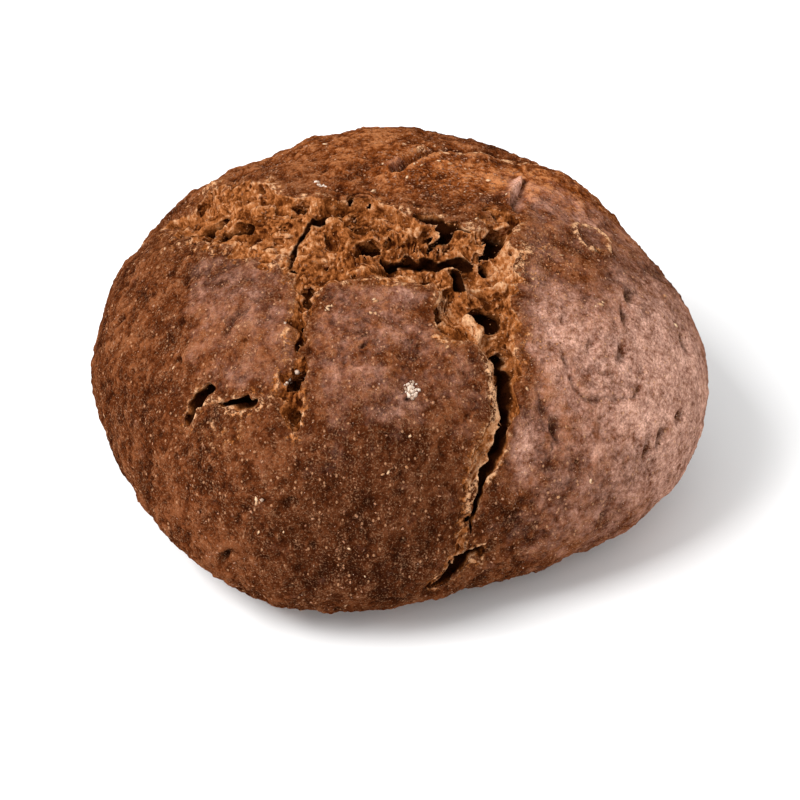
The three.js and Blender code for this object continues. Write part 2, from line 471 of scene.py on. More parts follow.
@dataclass
class CrustMap:
    """Sheets over the crust map that say how the crust rises, where it is torn and how deep, and where
    painted shade and sheen lie.
    """

    half: float = 140.0
    step: float = 0.5
    margin: float = 16.0
    swells: tuple[Swell, ...] = (
        Swell((-16, 44), 20, 1.6),
        Swell((-64, 22), 13, -2.6),
        Swell((50, 33), 10, 2.2),
        Swell((76, 14), 15, -1.3),
        Swell((-56, -92), 16, 1.2),
        Swell((-92, -60), 13, -1.0),
        Swell((-44, -33), 13, 1.4),
        Swell((-5, -62), 17, 1.6),
        Swell((-45, -75), 13, 1.3),
        Swell((54, -40), 19, 1.2),
        Swell((-61, 23), 6, -1.8),
        Swell((-53.5, 30), 3.2, 2.0),
        Swell((-47.5, 30), 3.0, -1.6),
        Swell((-42.5, 34), 3.5, 1.0),
        Swell((-35, 37), 7, -1.2),
    )
    uneven: tuple[Hump, ...] = (Hump(21, 0.9), Hump(9, 0.5))
    hollows: tuple[Hollow, ...] = (
        Hollow(3.5, (
            (-73, 32), (-60, 31), (-47, 28), (-38, 21), (-32, 9), (-20, 6), (-8, 5), (1, -2), (9, -8),
            (22, -9), (29, 3), (35, 2), (37.6, -3), (35, -9), (38, -15), (35.4, -21), (38, -27), (22, -33),
            (9, -33), (-8, -31), (-24, -31), (-39, -20), (-55, -6), (-64, 9),
        )),
        Hollow(4.0, (
            (24, -26), (13, -33), (12, -43), (13, -48), (22, -48), (28, -54), (29, -63), (31, -70),
            (34.5, -65), (37.5, -60), (35.6, -55), (38.6, -50), (35.2, -45), (37.6, -39), (35, -34),
            (37.6, -28),
        )),
        Hollow(1.8, (
            (-28.5, -28), (-28.6, -38), (-29, -48), (-32, -54), (-31, -60), (-28.5, -66), (-25, -67),
            (-23.8, -58), (-23.6, -48), (-22.8, -38), (-21.5, -29),
        )),
        Hollow(0.8, (
            (28.4, -58), (27.6, -65), (24.4, -72), (22.8, -78), (21.6, -84), (21.2, -90), (21.6, -96),
            (18.5, -100.5), (14, -106), (12, -111), (17, -112), (22.9, -106.7), (28.7, -101.6), (34, -98.6),
            (33, -96.4), (27.8, -98), (27.4, -93), (27, -86.3), (28.3, -80), (30.6, -74.5), (32.8, -69.2),
            (34, -64), (32.4, -58),
        ), 0.06),
    )
    crags: tuple[Hump, ...] = (Hump(9, 2.4), Hump(3.6, 1.3))
    wall_run: float = 3.0
    soft_lips: tuple[Patch, ...] = (
        Patch((-46, -13), (22, 11), -35, 8.0),
        Patch((-66, 16), (12, 9), -60, 4.0),
        Patch((-48, 26), (17, 9), -25, 8.0),
        Patch((38, -14), (20, 8), 92, 6.0),
        Patch((-8, 3), (22, 6), -10, -1.6),
    )
    lip_curl: Roll = Roll(5, 0.7)
    cracks: tuple[Crack, ...] = (
        Crack(
            (
                (33.5, -50), (33.8, -54), (32.6, -59.5), (34.2, -64), (32.8, -69.2), (30.6, -74.5),
                (28.2, -80), (26.9, -86.3), (27, -93),
            ),
            (3.2, 2.5), 12,
        ),
        Crack(((35.8, -97.9), (28.7, -101.6), (22.9, -106.7), (17, -112)), (4.2, 4.0), 8),
        Crack(((-59, -55.5), (-55.2, -51.8), (-51.5, -50.2), (-47.8, -50.8)), (3.6, 3.4), 12),
        Crack(((-47, -54.4), (-43.5, -56), (-40, -57.1), (-35.5, -57.3)), (1.9, 2.7), 9),
        Crack(((-4.5, -21.5), (3, -23), (10, -22.6), (17, -21.8), (24.5, -21)), (3.2, 4.0), 11),
        Crack(((-15, 6.2), (-10.5, 6.8), (-3, 5)), (1.4, 1.3), 6),
        Crack(((-66, 25), (-79, 33), (-90, 34), (-103, 40)), (2.4, 4), 6),
        Crack(((-16, 58), (-20, 72), (-15, 85), (-19, 98)), (3, 3.4), 6),
        Crack(((46, 62), (54, 74), (50, 88)), (2.8, 3), 5),
    )
    caves: tuple[Crack, ...] = (
        Crack(((-28.4, -26), (-30.4, -18), (-29, -10.5), (-24.5, -4)), (0.9, 1.6), 9),
        Crack(((-25.5, -5.4), (-21, -1.4), (-15.5, 1.0)), (2.4, 6.4), 14),
        Crack(
            ((6.5, -6.6), (11.5, -7.2), (15.5, -9), (16.6, -11.6), (14, -14.2), (10, -14.6)),
            (3.6, 3.2), 13,
        ),
        Crack(((16, -8.6), (19.5, -9.6), (23.5, -10)), (2.0, 1.8), 7),
        Crack(((18.6, -24.5), (19, -28.5), (19.4, -32)), (5.0, 3.4), 9),
    )
    flaps: tuple[Ridge, ...] = (
        Ridge(((37, 21), (35.8, 14), (33, 6)), 0.9, 1.5),
        Ridge(((-2, 18), (-0.5, 23), (2.5, 28.5)), 1.1, 0.5),
        Ridge(((-25, -29), (-25, -38), (-26, -47), (-27, -57), (-27, -67)), 6.0, -1.4),
    )
    gold_lines: tuple[Ridge, ...] = (
        Ridge(((8, 34), (16, 32), (26.5, 35), (38.5, 35.5), (46, 39), (53, 43), (62, 47)), 1.1, 1.0),
        Ridge(((14, -36), (23, -43), (27, -50), (29, -59)), 2.2, 0.85),
        Ridge(((30, -60), (30.4, -66), (27, -74), (24.8, -80), (23.9, -88), (24, -96)), 2.3, 1.0),
        Ridge(((33, -96), (25, -100.5), (16, -106.5)), 2.0, 0.9),
        Ridge(
            ((-57, -56.8), (-53.3, -53.8), (-49.3, -53), (-45.3, -57), (-40.5, -59.3), (-34, -59.4)),
            1.4, 0.6,
        ),
        Ridge(((25, -30), (33, -26), (38, -14)), 2.0, 0.7),
    )
    plates: tuple[Plate, ...] = (
        Plate((
            (-57, -11), (-44, -14), (-31, -26), (-27, -44), (-29, -55), (-38, -55), (-51, -48), (-56.4, -42),
            (-57.4, -25),
        ), 0.26, 2.2),
    )
    ragged_lip: tuple[Hump, ...] = (Hump(2.6, 0.6), Hump(1.1, 0.45))
    ragged_layer: int = 3
    ragged_gap: float = 5.0
    crack_end: float = 0.12
    least_half: float = 0.05
    least_depth: float = 0.3
    valley: Roll = Roll(6, -1.5)
    pits: tuple[Pocket, ...] = (
        Pocket((65, -16.3), (3.2, 1.5), 80, 0.95),
        Pocket((62.7, -24.3), (3.8, 1.4), 105, 0.9),
        Pocket((80.5, -18.7), (2.8, 1.3), 95, 0.8),
        Pocket((61.3, -35.6), (3.0, 1.3), 75, 0.75),
        Pocket((67, -36), (1.7, 1.0), 85, 0.5),
        Pocket((53.6, -37.8), (2.4, 1.1), 85, 0.5),
        Pocket((81.4, -38.2), (3.4, 1.6), 80, 1.0),
        Pocket((77.6, -45.7), (3.6, 1.5), 100, 0.95),
        Pocket((75.4, -52.6), (3.2, 1.5), 100, 0.9),
        Pocket((47.2, -34.5), (2.2, 1.2), 90, 0.4),
        Pocket((47.6, -61), (4.6, 2.2), 95, 1.9),
        Pocket((43.5, -58), (5.0, 1.8), 100, 0.9),
        Pocket((4.9, -63), (0.9, 0.7), 0, 1.6),
        Pocket((-78, -11.6), (2.2, 2.0), 0, 0.9),
        Pocket((-59, -38.2), (1.5, 1.2), 0, 0.8),
        Pocket((56.3, -6.1), (1.0, 0.8), 0, 2.2),
        Pocket((-58.6, -39), (1.8, 0.6), 95, 1.0),
        Pocket((-8.2, -49.2), (0.9, 0.4), 20, 1.2),
        Pocket((-53, -88), (3.4, 1.4), 20, 2.0),
        Pocket((-28.7, -81), (2.8, 1.6), 0, 0.9),
    )
    grooves: tuple[Crack, ...] = (
        Crack(((-45, -37.6), (-42.5, -34.5), (-39.9, -35)), (2.6, 2.2), 1.1),
        Crack(((47, -44), (50.5, -49), (55, -50.3), (60, -48.3), (65, -45), (67, -41)), (1.9, 1.1), 0.76),
        Crack(((53.6, -37.3), (54.7, -41.2), (57.2, -42.5), (60, -41.6)), (1.6, 1.2), 0.3),
        Crack(((49.8, -22.9), (55.2, -23.9), (58.5, -20.8)), (1.4, 1.0), 0.35),
        Crack(((0.5, 17), (2.2, 23), (5, 28), (8.5, 31.5), (12, 33.5)), (2.4, 3.6), 3.6),
        Crack(((35.6, 3), (37.9, 11), (39.4, 21)), (2.8, 1.4), 2.2),
        Crack(((9, 38), (18, 36), (27, 38.5), (38, 39), (46, 42), (56, 47)), (3.4, 3.0), 1.1),
        Crack(((-92, -20), (-86, -27), (-83, -38)), (1.2, 0.8), 0.6),
        Crack(((36, -97), (28.7, -100.6), (22.5, -105.6), (16, -111)), (7.0, 6.4), 1.8),
    )
    blister_at: Pair = (55.6, -0.8)
    blister_half: Pair = (4.2, 5.4)
    blister_rim: Roll = Roll(1.2, 1.3)
    blister_gilt: Roll = Roll(0.9, 0.9)
    small_pits: SmallPits = SmallPits()
    pit_reach: float = 3.0
    pit_steepness: float = 1.15
    pit_sink: float = 1.3
    pit_rim: Roll = Roll(0.5, 0.16)
    pit_rim_at: float = 1.7
    pit_shade: float = 1.0
    groove_reach: float = 4.0
    groove_shade: float = 0.7
    line_reach: float = 4.0
    least_flap: float = 1.5
    stray: tuple[Hump, ...] = (Hump(6.0, 1.1), Hump(2.2, 0.5))
    stray_layers: tuple[int, int] = (0, 10)
    last_step: float = 1.001
    noise: MapNoise = MapNoise()

    def __post_init__(self) -> None:
        """Draws every sheet."""
        self.count = int(2 * self.half / self.step) + 1
        line = np.linspace(-self.half, self.half, self.count)
        self.u, self.v = np.meshgrid(line, line, indexing="ij")
        self.strayed_u, self.strayed_v = (
            sheet + self.noise.heap(self.u, self.v, self.stray, layer)
            for sheet, layer in zip((self.u, self.v), self.stray_layers)
        )
        self.tear = np.full(self.u.shape, -FAR)
        self.floor = np.zeros(self.u.shape)
        self.gap_edge = np.full(self.u.shape, -FAR)
        self.gap_half = np.ones(self.u.shape)
        self.gap_depth = np.ones(self.u.shape)
        self.wall = self.wall_run + covered(self.soft_lips, self.u, self.v)
        self.draw_hollows()
        self.draw_cracks()
        self.draw_level()
        self.draw_finishes()

    def window(self, line: Values, margin: float) -> Window:
        """The part of a sheet round a line.

        Args:
            line: The line's points.
            margin: How far round the line the part reaches.

        Returns:
            The part's rows and columns.
        """
        low = np.floor((line.min(axis=0) - margin + self.half) / self.step).astype(int).clip(0, self.count)
        high = np.ceil((line.max(axis=0) + margin + self.half) / self.step).astype(int).clip(0, self.count)
        return slice(low[0], high[0]), slice(low[1], high[1])

    def inside(self, outline: Sequence[Pair]) -> tuple[Window, Values]:
        """Measures the places round a closed outline.

        Args:
            outline: The outline's places in order.

        Returns:
            The part of a sheet round the outline, and how far inside it each place there is.
        """
        line = smooth_line(outline, closed=True)
        part = self.window(line, self.margin)
        u, v = self.u[part], self.v[part]
        distance, _ = measure_to(u, v, line)
        return part, np.where(is_inside(u, v, line), distance, -distance)

    def beside(
        self, route: Sequence[Pair], margin: float, strayed: bool = False
    ) -> tuple[Window, Values, Values]:
        """Measures the places beside a route.

        Args:
            route: The route's places in order.
            margin: How far from the route to measure.
            strayed: Whether the route strays from its drawn line, as fine marks do.

        Returns:
            The part of a sheet round the route, and each place's distance to it and share of the way along.
        """
        line = smooth_line(route)
        part = self.window(line, margin)
        u, v = (self.strayed_u, self.strayed_v) if strayed else (self.u, self.v)
        distance, share = measure_to(u[part], v[part], line)
        return part, distance, share

    def draw_hollows(self) -> None:
        """Draws how far inside a torn hollow each place is, and the depth of its craggy floor."""
        crag = self.noise.heap(self.u, self.v, self.crags)
        for hollow in self.hollows:
            part, inside = self.inside(hollow.outline)
            floor = hollow.floor * (1.0 + hollow.crags * crag[part])
            deeper = inside > self.tear[part]
            self.tear[part] = np.where(deeper, inside, self.tear[part])
            self.floor[part] = np.where(deeper, floor, self.floor[part])

    def draw_cracks(self) -> None:
        """Draws how far inside a crack each place is, with the crack's half gap and depth there."""
        self.to_crack = np.full(self.u.shape, FAR)
        for crack in (*self.cracks, *self.caves):
            part, distance, share = self.beside(crack.route, self.margin)
            opening = np.sqrt(np.clip(np.minimum(share, 1 - share) / self.crack_end, 0.0, 1.0))
            ragged = self.noise.heap(self.u[part], self.v[part], self.ragged_lip, self.ragged_layer)
            gap = crack.gap_at(share)
            half = opening * (gap / 2 + ragged * np.minimum(gap / self.ragged_gap, 1.0))
            half = np.maximum(half, self.least_half)
            depth = np.maximum(crack.depth * opening, self.least_depth)
            edge = half - distance
            wider = edge > self.gap_edge[part]
            for sheet, found in ((self.gap_edge, edge), (self.gap_half, half), (self.gap_depth, depth)):
                sheet[part] = np.where(wider, found, sheet[part])
            if crack in self.cracks:
                self.to_crack[part] = np.minimum(self.to_crack[part], distance)

    def draw_level(self) -> None:
        """Draws the crust's own level above the smooth form, before it tore, and the painted shade in its
        pits and grooves.
        """
        level = self.noise.heap(self.u, self.v, self.uneven)
        for swell in self.swells:
            level += swell.rise * fade(np.hypot(self.u - swell.at[0], self.v - swell.at[1]), swell.reach)
        level += self.valley.height(self.to_crack)
        level += self.lip_curl.height(np.minimum(self.tear, 0.0)) * (self.tear > -FAR)
        out_u = (self.strayed_u - self.blister_at[0]) / self.blister_half[0]
        out_v = (self.strayed_v - self.blister_at[1]) / self.blister_half[1]
        self.to_rim = (np.hypot(out_u, out_v) - 1.0) * min(self.blister_half)
        level += self.blister_rim.height(self.to_rim)
        for flap in self.flaps:
            margin = self.line_reach * max(flap.half, self.least_flap)
            part, distance, _ = self.beside(flap.route, margin, strayed=True)
            level[part] += flap.height(distance)
        # Painted shade of the pits and grooves, for the colour only.
        self.crease_shade = np.zeros(self.u.shape)
        for pit in (*self.pits, *self.small_pits.pits()):
            self.sink_pit(level, pit)
        for groove in self.grooves:
            part, distance, share = self.beside(groove.route, self.groove_reach, strayed=True)
            pressed = fade(distance, groove.gap_at(share) / 2)
            level[part] -= groove.depth * pressed
            self.crease_shade[part] = np.maximum(self.crease_shade[part], min(groove.depth, self.groove_shade) * pressed)
        self.level = level

    def sink_pit(self, level: Values, pit: Pocket) -> None:
        """Presses one small pit with a low rim into the crust, and marks the painted shade in it.

        Args:
            level: The sheet to press it into.
            pit: The pit.
        """
        part = self.window(np.array([pit.at]), self.pit_reach * max(pit.half))
        along, across = turned(self.strayed_u[part], self.strayed_v[part], pit.at, pit.bearing)
        out = np.hypot(along / pit.half[0], across / pit.half[1])
        pressed = np.exp(-((self.pit_steepness * out) ** 3))
        level[part] -= pit.depth * (self.pit_sink * pressed - self.pit_rim.height(out - self.pit_rim_at))
        self.crease_shade[part] = np.maximum(self.crease_shade[part], min(pit.depth, self.pit_shade) * pressed)

    def draw_finishes(self) -> None:
        """Draws where flour and painted sheen haze the crust inside the plates, and where a torn edge shows
        gold.
        """
        self.haze_and_sheen = np.zeros(self.u.shape)
        for plate in self.plates:
            part, inside = self.inside(plate.outline)
            cover = plate.strength * smooth_step(inside, -plate.softness, plate.softness)
            self.haze_and_sheen[part] = np.maximum(self.haze_and_sheen[part], cover)
        self.gilt = self.blister_gilt.height(self.to_rim)
        for edge in self.gold_lines:
            part, distance, _ = self.beside(edge.route, self.line_reach * edge.half)
            self.gilt[part] = np.maximum(self.gilt[part], edge.height(distance))

    def spots(self, u: Values, v: Values) -> MapSpots:
        """Finds places on the sheets.

        Args:
            u: Places to the right.
            v: Places to the back.

        Returns:
            The places, ready to read.
        """
        top = self.count - self.last_step
        row = np.clip((u + self.half) / self.step, 0.0, top)
        column = np.clip((v + self.half) / self.step, 0.0, top)
        first_row = row.astype(np.int64)
        first_column = column.astype(np.int64)
        first = first_row * self.count + first_column
        return MapSpots(first, self.count, row - first_row, column - first_column)


@dataclass
class CrumbNoise:
    """Repeating blocks of smooth noise and of round cells, which shape the rough crumb."""

    side: int = 128
    hump_steps: int = 8
    pace: float = 0.8
    pace_spread: float = 0.35
    strength: float = 0.5
    most: float = 1.4
    cell_room: Pair = (0.1, 0.9)
    seed: int = 11

    def __post_init__(self) -> None:
        """Draws both blocks."""
        draw = np.random.default_rng(self.seed)
        self.smooth = self.draw_smooth(draw)
        self.cells = self.draw_cells(draw)

    def draw_smooth(self, draw: np.random.Generator) -> Values:
        """Draws a block of smooth noise.

        Args:
            draw: Source of the random numbers.

        Returns:
            Values that mostly lie from -1 to 1.
        """
        turns = np.fft.fftfreq(self.side)
        half_turns = np.fft.rfftfreq(self.side)
        pace = np.sqrt(
            turns[:, None, None] ** 2 + turns[None, :, None] ** 2 + half_turns[None, None, :] ** 2
        ) * self.hump_steps
        band = np.exp(-((pace - self.pace) / self.pace_spread) ** 2)
        block = np.fft.irfftn(np.fft.rfftn(draw.normal(size=(self.side,) * 3)) * band, s=(self.side,) * 3)
        return (block / block.std() * self.strength).clip(-self.most, self.most).astype(np.float32)

    def draw_cells(self, draw: np.random.Generator) -> Values:
        """Draws a block of distances to the nearest of many random points, one to each cell.

        Args:
            draw: Source of the random numbers.

        Returns:
            Distances in cells.
        """
        cells = self.side // self.hump_steps
        seeds = draw.uniform(*self.cell_room, size=(cells, cells, cells, 3))
        place = (np.arange(self.side) + 0.5) / self.hump_steps
        own = np.floor(place).astype(int)
        nearest = np.full((self.side,) * 3, FAR, np.float32)
        for step in np.ndindex(3, 3, 3):
            shift = np.array(step) - 1
            rows = [(own + shift[axis]) % cells for axis in range(3)]
            point = seeds[np.ix_(*rows)]
            squared = 0.0
            for axis in range(3):
                line = (own + shift[axis] - place).reshape([-1 if axis == other else 1 for other in range(3)])
                squared = squared + (point[..., axis] + line) ** 2
            nearest = np.minimum(nearest, np.sqrt(squared, dtype=np.float32))
        return nearest

    def read(self, block: Values, points: Values, size: float | Triple, shift: float = 0.0) -> Values:
        """Reads a block at points.

        Args:
            block: The smooth noise or the cells.
            points: Points as rows of three, in millimetres.
            size: Size of a hump or cell, alike or one for each direction.
            shift: Moves the block, so that two readings differ.

        Returns:
            One value for each point.
        """
        place = points * (self.hump_steps / np.array(size, np.float32)).astype(np.float32) + np.float32(shift)
        low = np.floor(place)
        part = (place - low).astype(np.float32)
        low = low.astype(np.int64) & (self.side - 1)
        high = (low + 1) & (self.side - 1)
        flat = block.ravel()
        total = np.zeros(len(points), np.float32)
        for corner in np.ndindex(2, 2, 2):
            index = np.zeros(len(points), np.int64)
            weight = np.ones(len(points), np.float32)
            for axis, end in enumerate(corner):
                index = index * self.side + (high if end else low)[:, axis]
                weight = weight * (part[:, axis] if end else 1 - part[:, axis])
            total += weight * flat[index]
        return total

    def heap(self, points: Values, humps: Sequence[Hump], shift: float, next_shift: float) -> Values:
        """Reads several layers of smooth noise together.

        Args:
            points: Points as rows of three, in millimetres.
            humps: Size and rise of each layer's humps.
            shift: Moves the block for the first layer.
            next_shift: How much further it moves for each layer after that.

        Returns:
            Heights in millimetres.
        """
        total = np.zeros(len(points), np.float32)
        for layer, hump in enumerate(humps):
            total += hump.rise * self.read(self.smooth, points, hump.size, shift + next_shift * layer)
        return total


@dataclass(frozen=True)
class Surface:
    """A mesh as arrays, with what its points are made of."""

    points: Values
    triangles: Values
    normals: Values
    values: dict[str, Values]
    places: Values

    def part(self, name: str, chosen: Values) -> bpy.types.Mesh:
        """Makes a mesh of some of the triangles, shaded as in the whole.

        Args:
            name: The mesh's name.
            chosen: True for each triangle of the part.

        Returns:
            The mesh, with the values at its points.
        """
        triangles = self.triangles[chosen]
        used = np.unique(triangles)
        mesh = make_mesh(name, self.points[used], np.searchsorted(used, triangles))
        add_values(mesh, {key: numbers[used] for key, numbers in self.values.items()})
        mesh.normals_split_custom_set_from_vertices(self.normals[used])
        return mesh


def read_mesh(mesh: bpy.types.Mesh) -> tuple[Values, Values, Values, Values]:
    """Copies a mesh into arrays.

    Args:
        mesh: The mesh.

    Returns:
        Its points, triangles, edges and point normals.
    """
    mesh.calc_loop_triangles()
    points = np.empty(len(mesh.vertices) * 3, np.float32)
    mesh.vertices.foreach_get("co", points)
    triangles = np.empty(len(mesh.loop_triangles) * 3, np.int32)
    mesh.loop_triangles.foreach_get("vertices", triangles)
    edges = np.empty(len(mesh.edges) * 2, np.int32)
    mesh.edges.foreach_get("vertices", edges)
    normals = np.empty(len(mesh.vertices) * 3, np.float32)
    mesh.vertex_normals.foreach_get("vector", normals)
    return points.reshape(-1, 3), triangles.reshape(-1, 3), edges.reshape(-1, 2), normals.reshape(-1, 3)


def make_mesh(name: str, points: Values, faces: Values) -> bpy.types.Mesh:
    """Makes a mesh from arrays.

    Args:
        name: The mesh's name.
        points: Points as rows of x, y and z in metres.
        faces: Rows of point numbers, all with as many corners.

    Returns:
        The new mesh, smooth shaded.
    """
    corners = faces.shape[1]
    mesh = bpy.data.meshes.new(name)
    mesh.vertices.add(len(points))
    mesh.vertices.foreach_set("co", np.ascontiguousarray(points, np.float32).ravel())
    mesh.loops.add(faces.size)
    mesh.loops.foreach_set("vertex_index", np.ascontiguousarray(faces, np.int32).ravel())
    mesh.polygons.add(len(faces))
    mesh.polygons.foreach_set("loop_start", np.arange(0, faces.size, corners, dtype=np.int32))
    mesh.update(calc_edges=True)
    mesh.shade_smooth()
    return mesh


def add_object(mesh: bpy.types.Mesh) -> bpy.types.Object:
    """Puts a mesh into the scene under its own name.

    Args:
        mesh: The mesh.

    Returns:
        The new object.
    """
    piece = bpy.data.objects.new(mesh.name, mesh)
    bpy.context.scene.collection.objects.link(piece)
    return piece


def add_values(mesh: bpy.types.Mesh, values: dict[str, Values]) -> None:
    """Stores named values at a mesh's points, for its material to read.

    Args:
        mesh: The mesh.
        values: One array for each name.
    """
    for name, numbers in values.items():
        layer = mesh.attributes.new(name, "FLOAT", "POINT")
        layer.data.foreach_set("value", np.ascontiguousarray(numbers, np.float32))


def relax(points: Values, edges: Values, rounds: int) -> Values:
    """Smooths points along the edges between them.

    Args:
        points: The points.
        edges: Pairs of point numbers.
        rounds: How many times each point moves to the middle of its neighbours.

    Returns:
        The smoothed points.
    """
    count = len(points)
    ends = np.concatenate([edges[:, 0], edges[:, 1]])
    others = np.concatenate([edges[:, 1], edges[:, 0]])
    share = 1.0 / np.maximum(np.bincount(ends, minlength=count), 1)
    moved = points.astype(np.float64)
    for _ in range(rounds):
        sums = [np.bincount(ends, weights=moved[others, axis], minlength=count) for axis in range(3)]
        moved = 0.5 * moved + 0.5 * np.stack(sums, axis=1) * share[:, None]
    return moved


def largest_part(count: int, faces: Values) -> Values:
    """Finds the faces of the largest connected part of a mesh.

    Args:
        count: Number of points.
        faces: Rows of point numbers.

    Returns:
        True for each face of that part.
    """
    label = np.arange(count)
    starts = faces.ravel()
    ends = np.roll(faces, -1, axis=1).ravel()
    while True:
        lower = np.minimum(label[starts], label[ends])
        before = label.copy()
        np.minimum.at(label, starts, lower)
        np.minimum.at(label, ends, lower)
        label = label[label]
        label = label[label]
        if np.array_equal(label, before):
            break
    most = np.bincount(label).argmax()
    return label[faces[:, 0]] == most


@dataclass(frozen=True)
class Sounding:
    """Where points lie on the crust map, how far below the crust, and how far inside a torn place."""

    u: Values
    v: Values
    spots: MapSpots
    sink: Values
    reach: Values


@dataclass
class Bread:
    """The loaf itself: crust and torn crumb in one closed mesh."""

    form: LoafForm
    crust_map: CrustMap
    noise: CrumbNoise
    voxel: float = 0.35
    quick_voxel: float = 1.0
    low_corner: Pair = (-87.0, -80.0)
    high_corner: Triple = (91.0, 86.0, 92.0)
    layers_below: float = 2.0
    foot_edge: float = 0.5
    most_triangles: int = 194_000
    band: float = 2.4
    deepest: float = 17.0
    torn_margin: float = 3.5
    grain: tuple[Hump, ...] = (Hump(11.0, 0.45), Hump(5.0, 0.32), Hump(2.6, 0.26), Hump(1.4, 0.16))
    grain_shift: float = 17.0
    smooth_plates: tuple[Patch, ...] = (
        Patch((74, -30), (36, 44), 10, 0.6),
        Patch((-43, -34), (16, 22), -10, 0.5),
    )
    lip_warp: Hump = Hump(4.2, 1.0)
    lip_shifts: Pair = (31.0, 57.0)
    crumb_lumps: tuple[Hump, ...] = (Hump(9.0, 1.7), Hump(4.2, 0.9), Hump(1.8, 0.14))
    lump_shifts: Pair = (71.0, 13.0)
    fibre_size: Triple = (1.7, 9.0, 2.6)
    fibre_rise: float = 0.75
    fibre_level: float = 0.35
    fibre_shift: float = 5.0
    fibre_swirl: Hump = Hump(14.0, 6.0)
    swirl_shifts: Pair = (63.0, 29.0)
    pore_size: float = 2.8
    pore_depth: float = 0.6
    pore_run: Pair = (-0.42, -0.12)
    pore_shift: float = 9.0
    pore_warp: Hump = Hump(2.0, 0.9)
    warp_shift: float = 44.0
    rough_run: Pair = (-0.6, 1.6)
    rough_beside: float = 0.4
    hollow_run: Pair = (-1.0, 2.0)
    hollow_slope: float = 0.8
    whole_crust: float = 2.0
    deep_run: Pair = (4.0, 8.0)
    deep_ease: float = 0.55
    gap_run: Pair = (-1.6, 0.4)
    gap_ease: float = 0.7
    crack_floor: float = 0.25
    cave_heart: float = 0.42
    cave_rise: float = 0.58
    cave_run: Pair = (-1.2, 0.4)
    cave_ease: float = 0.7
    pockets: tuple[Pocket, ...] = (
        Pocket((-55.5, 10), (5.6, 3.6), 15, 11),
        Pocket((-47.5, 1), (6.2, 4.2), -15, 11),
        Pocket((-39.9, 18), (2.0, 1.4), 0, 6),
        Pocket((-39.9, 8), (1.8, 1.2), 0, 6),
        Pocket((-29.3, 5), (2.8, 1.1), 10, 6),
        Pocket((-17, -0.6), (4.6, 3.4), 30, 15),
        Pocket((-20.8, -22.5), (1.7, 1.4), 0, 7),
        Pocket((-7.6, -16.8), (4.4, 3.4), -10, 11),
        Pocket((-11.5, -7.5), (2.0, 1.6), 0, 6),
        Pocket((15, -10.4), (2.8, 2.2), -50, 11),
        Pocket((31, -11), (5.6, 3.6), 75, 13),
        Pocket((29, -21.5), (2.3, 1.9), 90, 9),
        Pocket((30.5, -1.5), (2.2, 1.6), 0, 6),
        Pocket((28.4, -38.8), (5.6, 3.6), -4, 14),
        Pocket((33, -50), (3.6, 2.6), 60, 11),
        Pocket((13.5, -41), (3.8, 1.8), 80, 8),
        Pocket((-25.2, -35.5), (3.2, 1.8), 90, 8),
        Pocket((-26.6, -48), (3.0, 1.3), 85, 4.5),
        Pocket((-28, -57.5), (2.8, 1.8), 40, 7),
        Pocket((-26, -65), (2.2, 1.2), 60, 6),
    )
    # Flour film with painted sheen: the mauve haze, strongest on the right plate, is partly reflected light
    # painted into the colour.
    flour_and_sheen_patches: tuple[Patch, ...] = (
        Patch((80, -34), (42, 38), 15, 0.85),
        Patch((42, -26), (12, 34), 0, 0.32),
        Patch((50, -16), (10, 14), 0, -0.4),
        Patch((54, 14), (20, 14), 0, 0.32),
        Patch((60, -84), (24, 18), 0, 0.22),
        Patch((38.5, -69), (5, 8), 15, 0.4),
        Patch((-6, -44), (24, 16), 0, 0.34),
        Patch((-43, -25), (12, 5), -15, 0.16),
        Patch((-16, -61), (8, 14), 0, 0.17),
        Patch((0, -64), (7, 5), 0, 0.3),
        Patch((12, -61), (12, 9), 0, 0.16),
        Patch((4, -35), (9, 2.4), -3, 0.4),
        Patch((36.5, 14), (8, 2.4), 80, 0.7),
        Patch((0.5, 24), (7, 2.4), 62, 0.35),
    )
    flour_and_sheen_run: Pair = (-5.0, 5.0)
    # Redder crust, also painted lighter on the top and rear where more light falls.
    warm_and_lit_patches: tuple[Patch, ...] = (
        Patch((14, 18), (30, 16), 0, 1.0),
        Patch((-14, 44), (40, 20), 0, 0.6),
        Patch((50, 22), (20, 16), 0, 0.9),
        Patch((-74, -14), (24, 30), 0, 0.1),
        Patch((43, -28), (8, 36), 0, 0.22),
        Patch((-8, -46), (30, 14), 0, 0.22),
    )
    # Painted shade: darker towards the front and the foot, and over the caves of the torn band.
    shade_patches: tuple[Patch, ...] = (
        Patch((2, -82), (34, 22), 0, 0.9),
        Patch((-10, -106), (50, 16), 0, 0.6),
        Patch((0, -78), (20, 8), 0, 0.3),
        Patch((-22, -90), (22, 13), 0, 0.45),
        Patch((-84, -34), (26, 30), 0, 0.16),
        Patch((-9, -15), (11, 6), -5, 0.9),
        Patch((-55.5, 10), (5, 3.5), 15, 0.8),
        Patch((-47.5, 1), (6, 4), -15, 0.8),
        Patch((-18, -0.5), (5, 4), 30, 0.6),
        Patch((26, -40), (8, 8), 0, 0.1),
        Patch((-50, 4), (20, 11), -25, 0.6),
        Patch((-26, -48), (4, 18), 0, 0.6),
    )
    gold_patches: tuple[Patch, ...] = (
        Patch((-52, 0), (24, 16), -35, 0.45),
        Patch((-46, -62), (14, 6), -10, 0.34),
        Patch((-40, -42), (9, 12), 0, 0.3),
        Patch((38, -20), (4, 22), 0, 0.3),
        Patch((46, -10), (8, 7), 0, 0.36),
        Patch((-36, -13), (8, 6), 0, 0.5),
        Patch((3, -4), (8, 5), 0, 0.5),
    )

    bare_sink: Pair = (0.1, 1.4)
    bare_reach: Pair = (-3.0, -0.6)
    lip_reach: float = 2.0
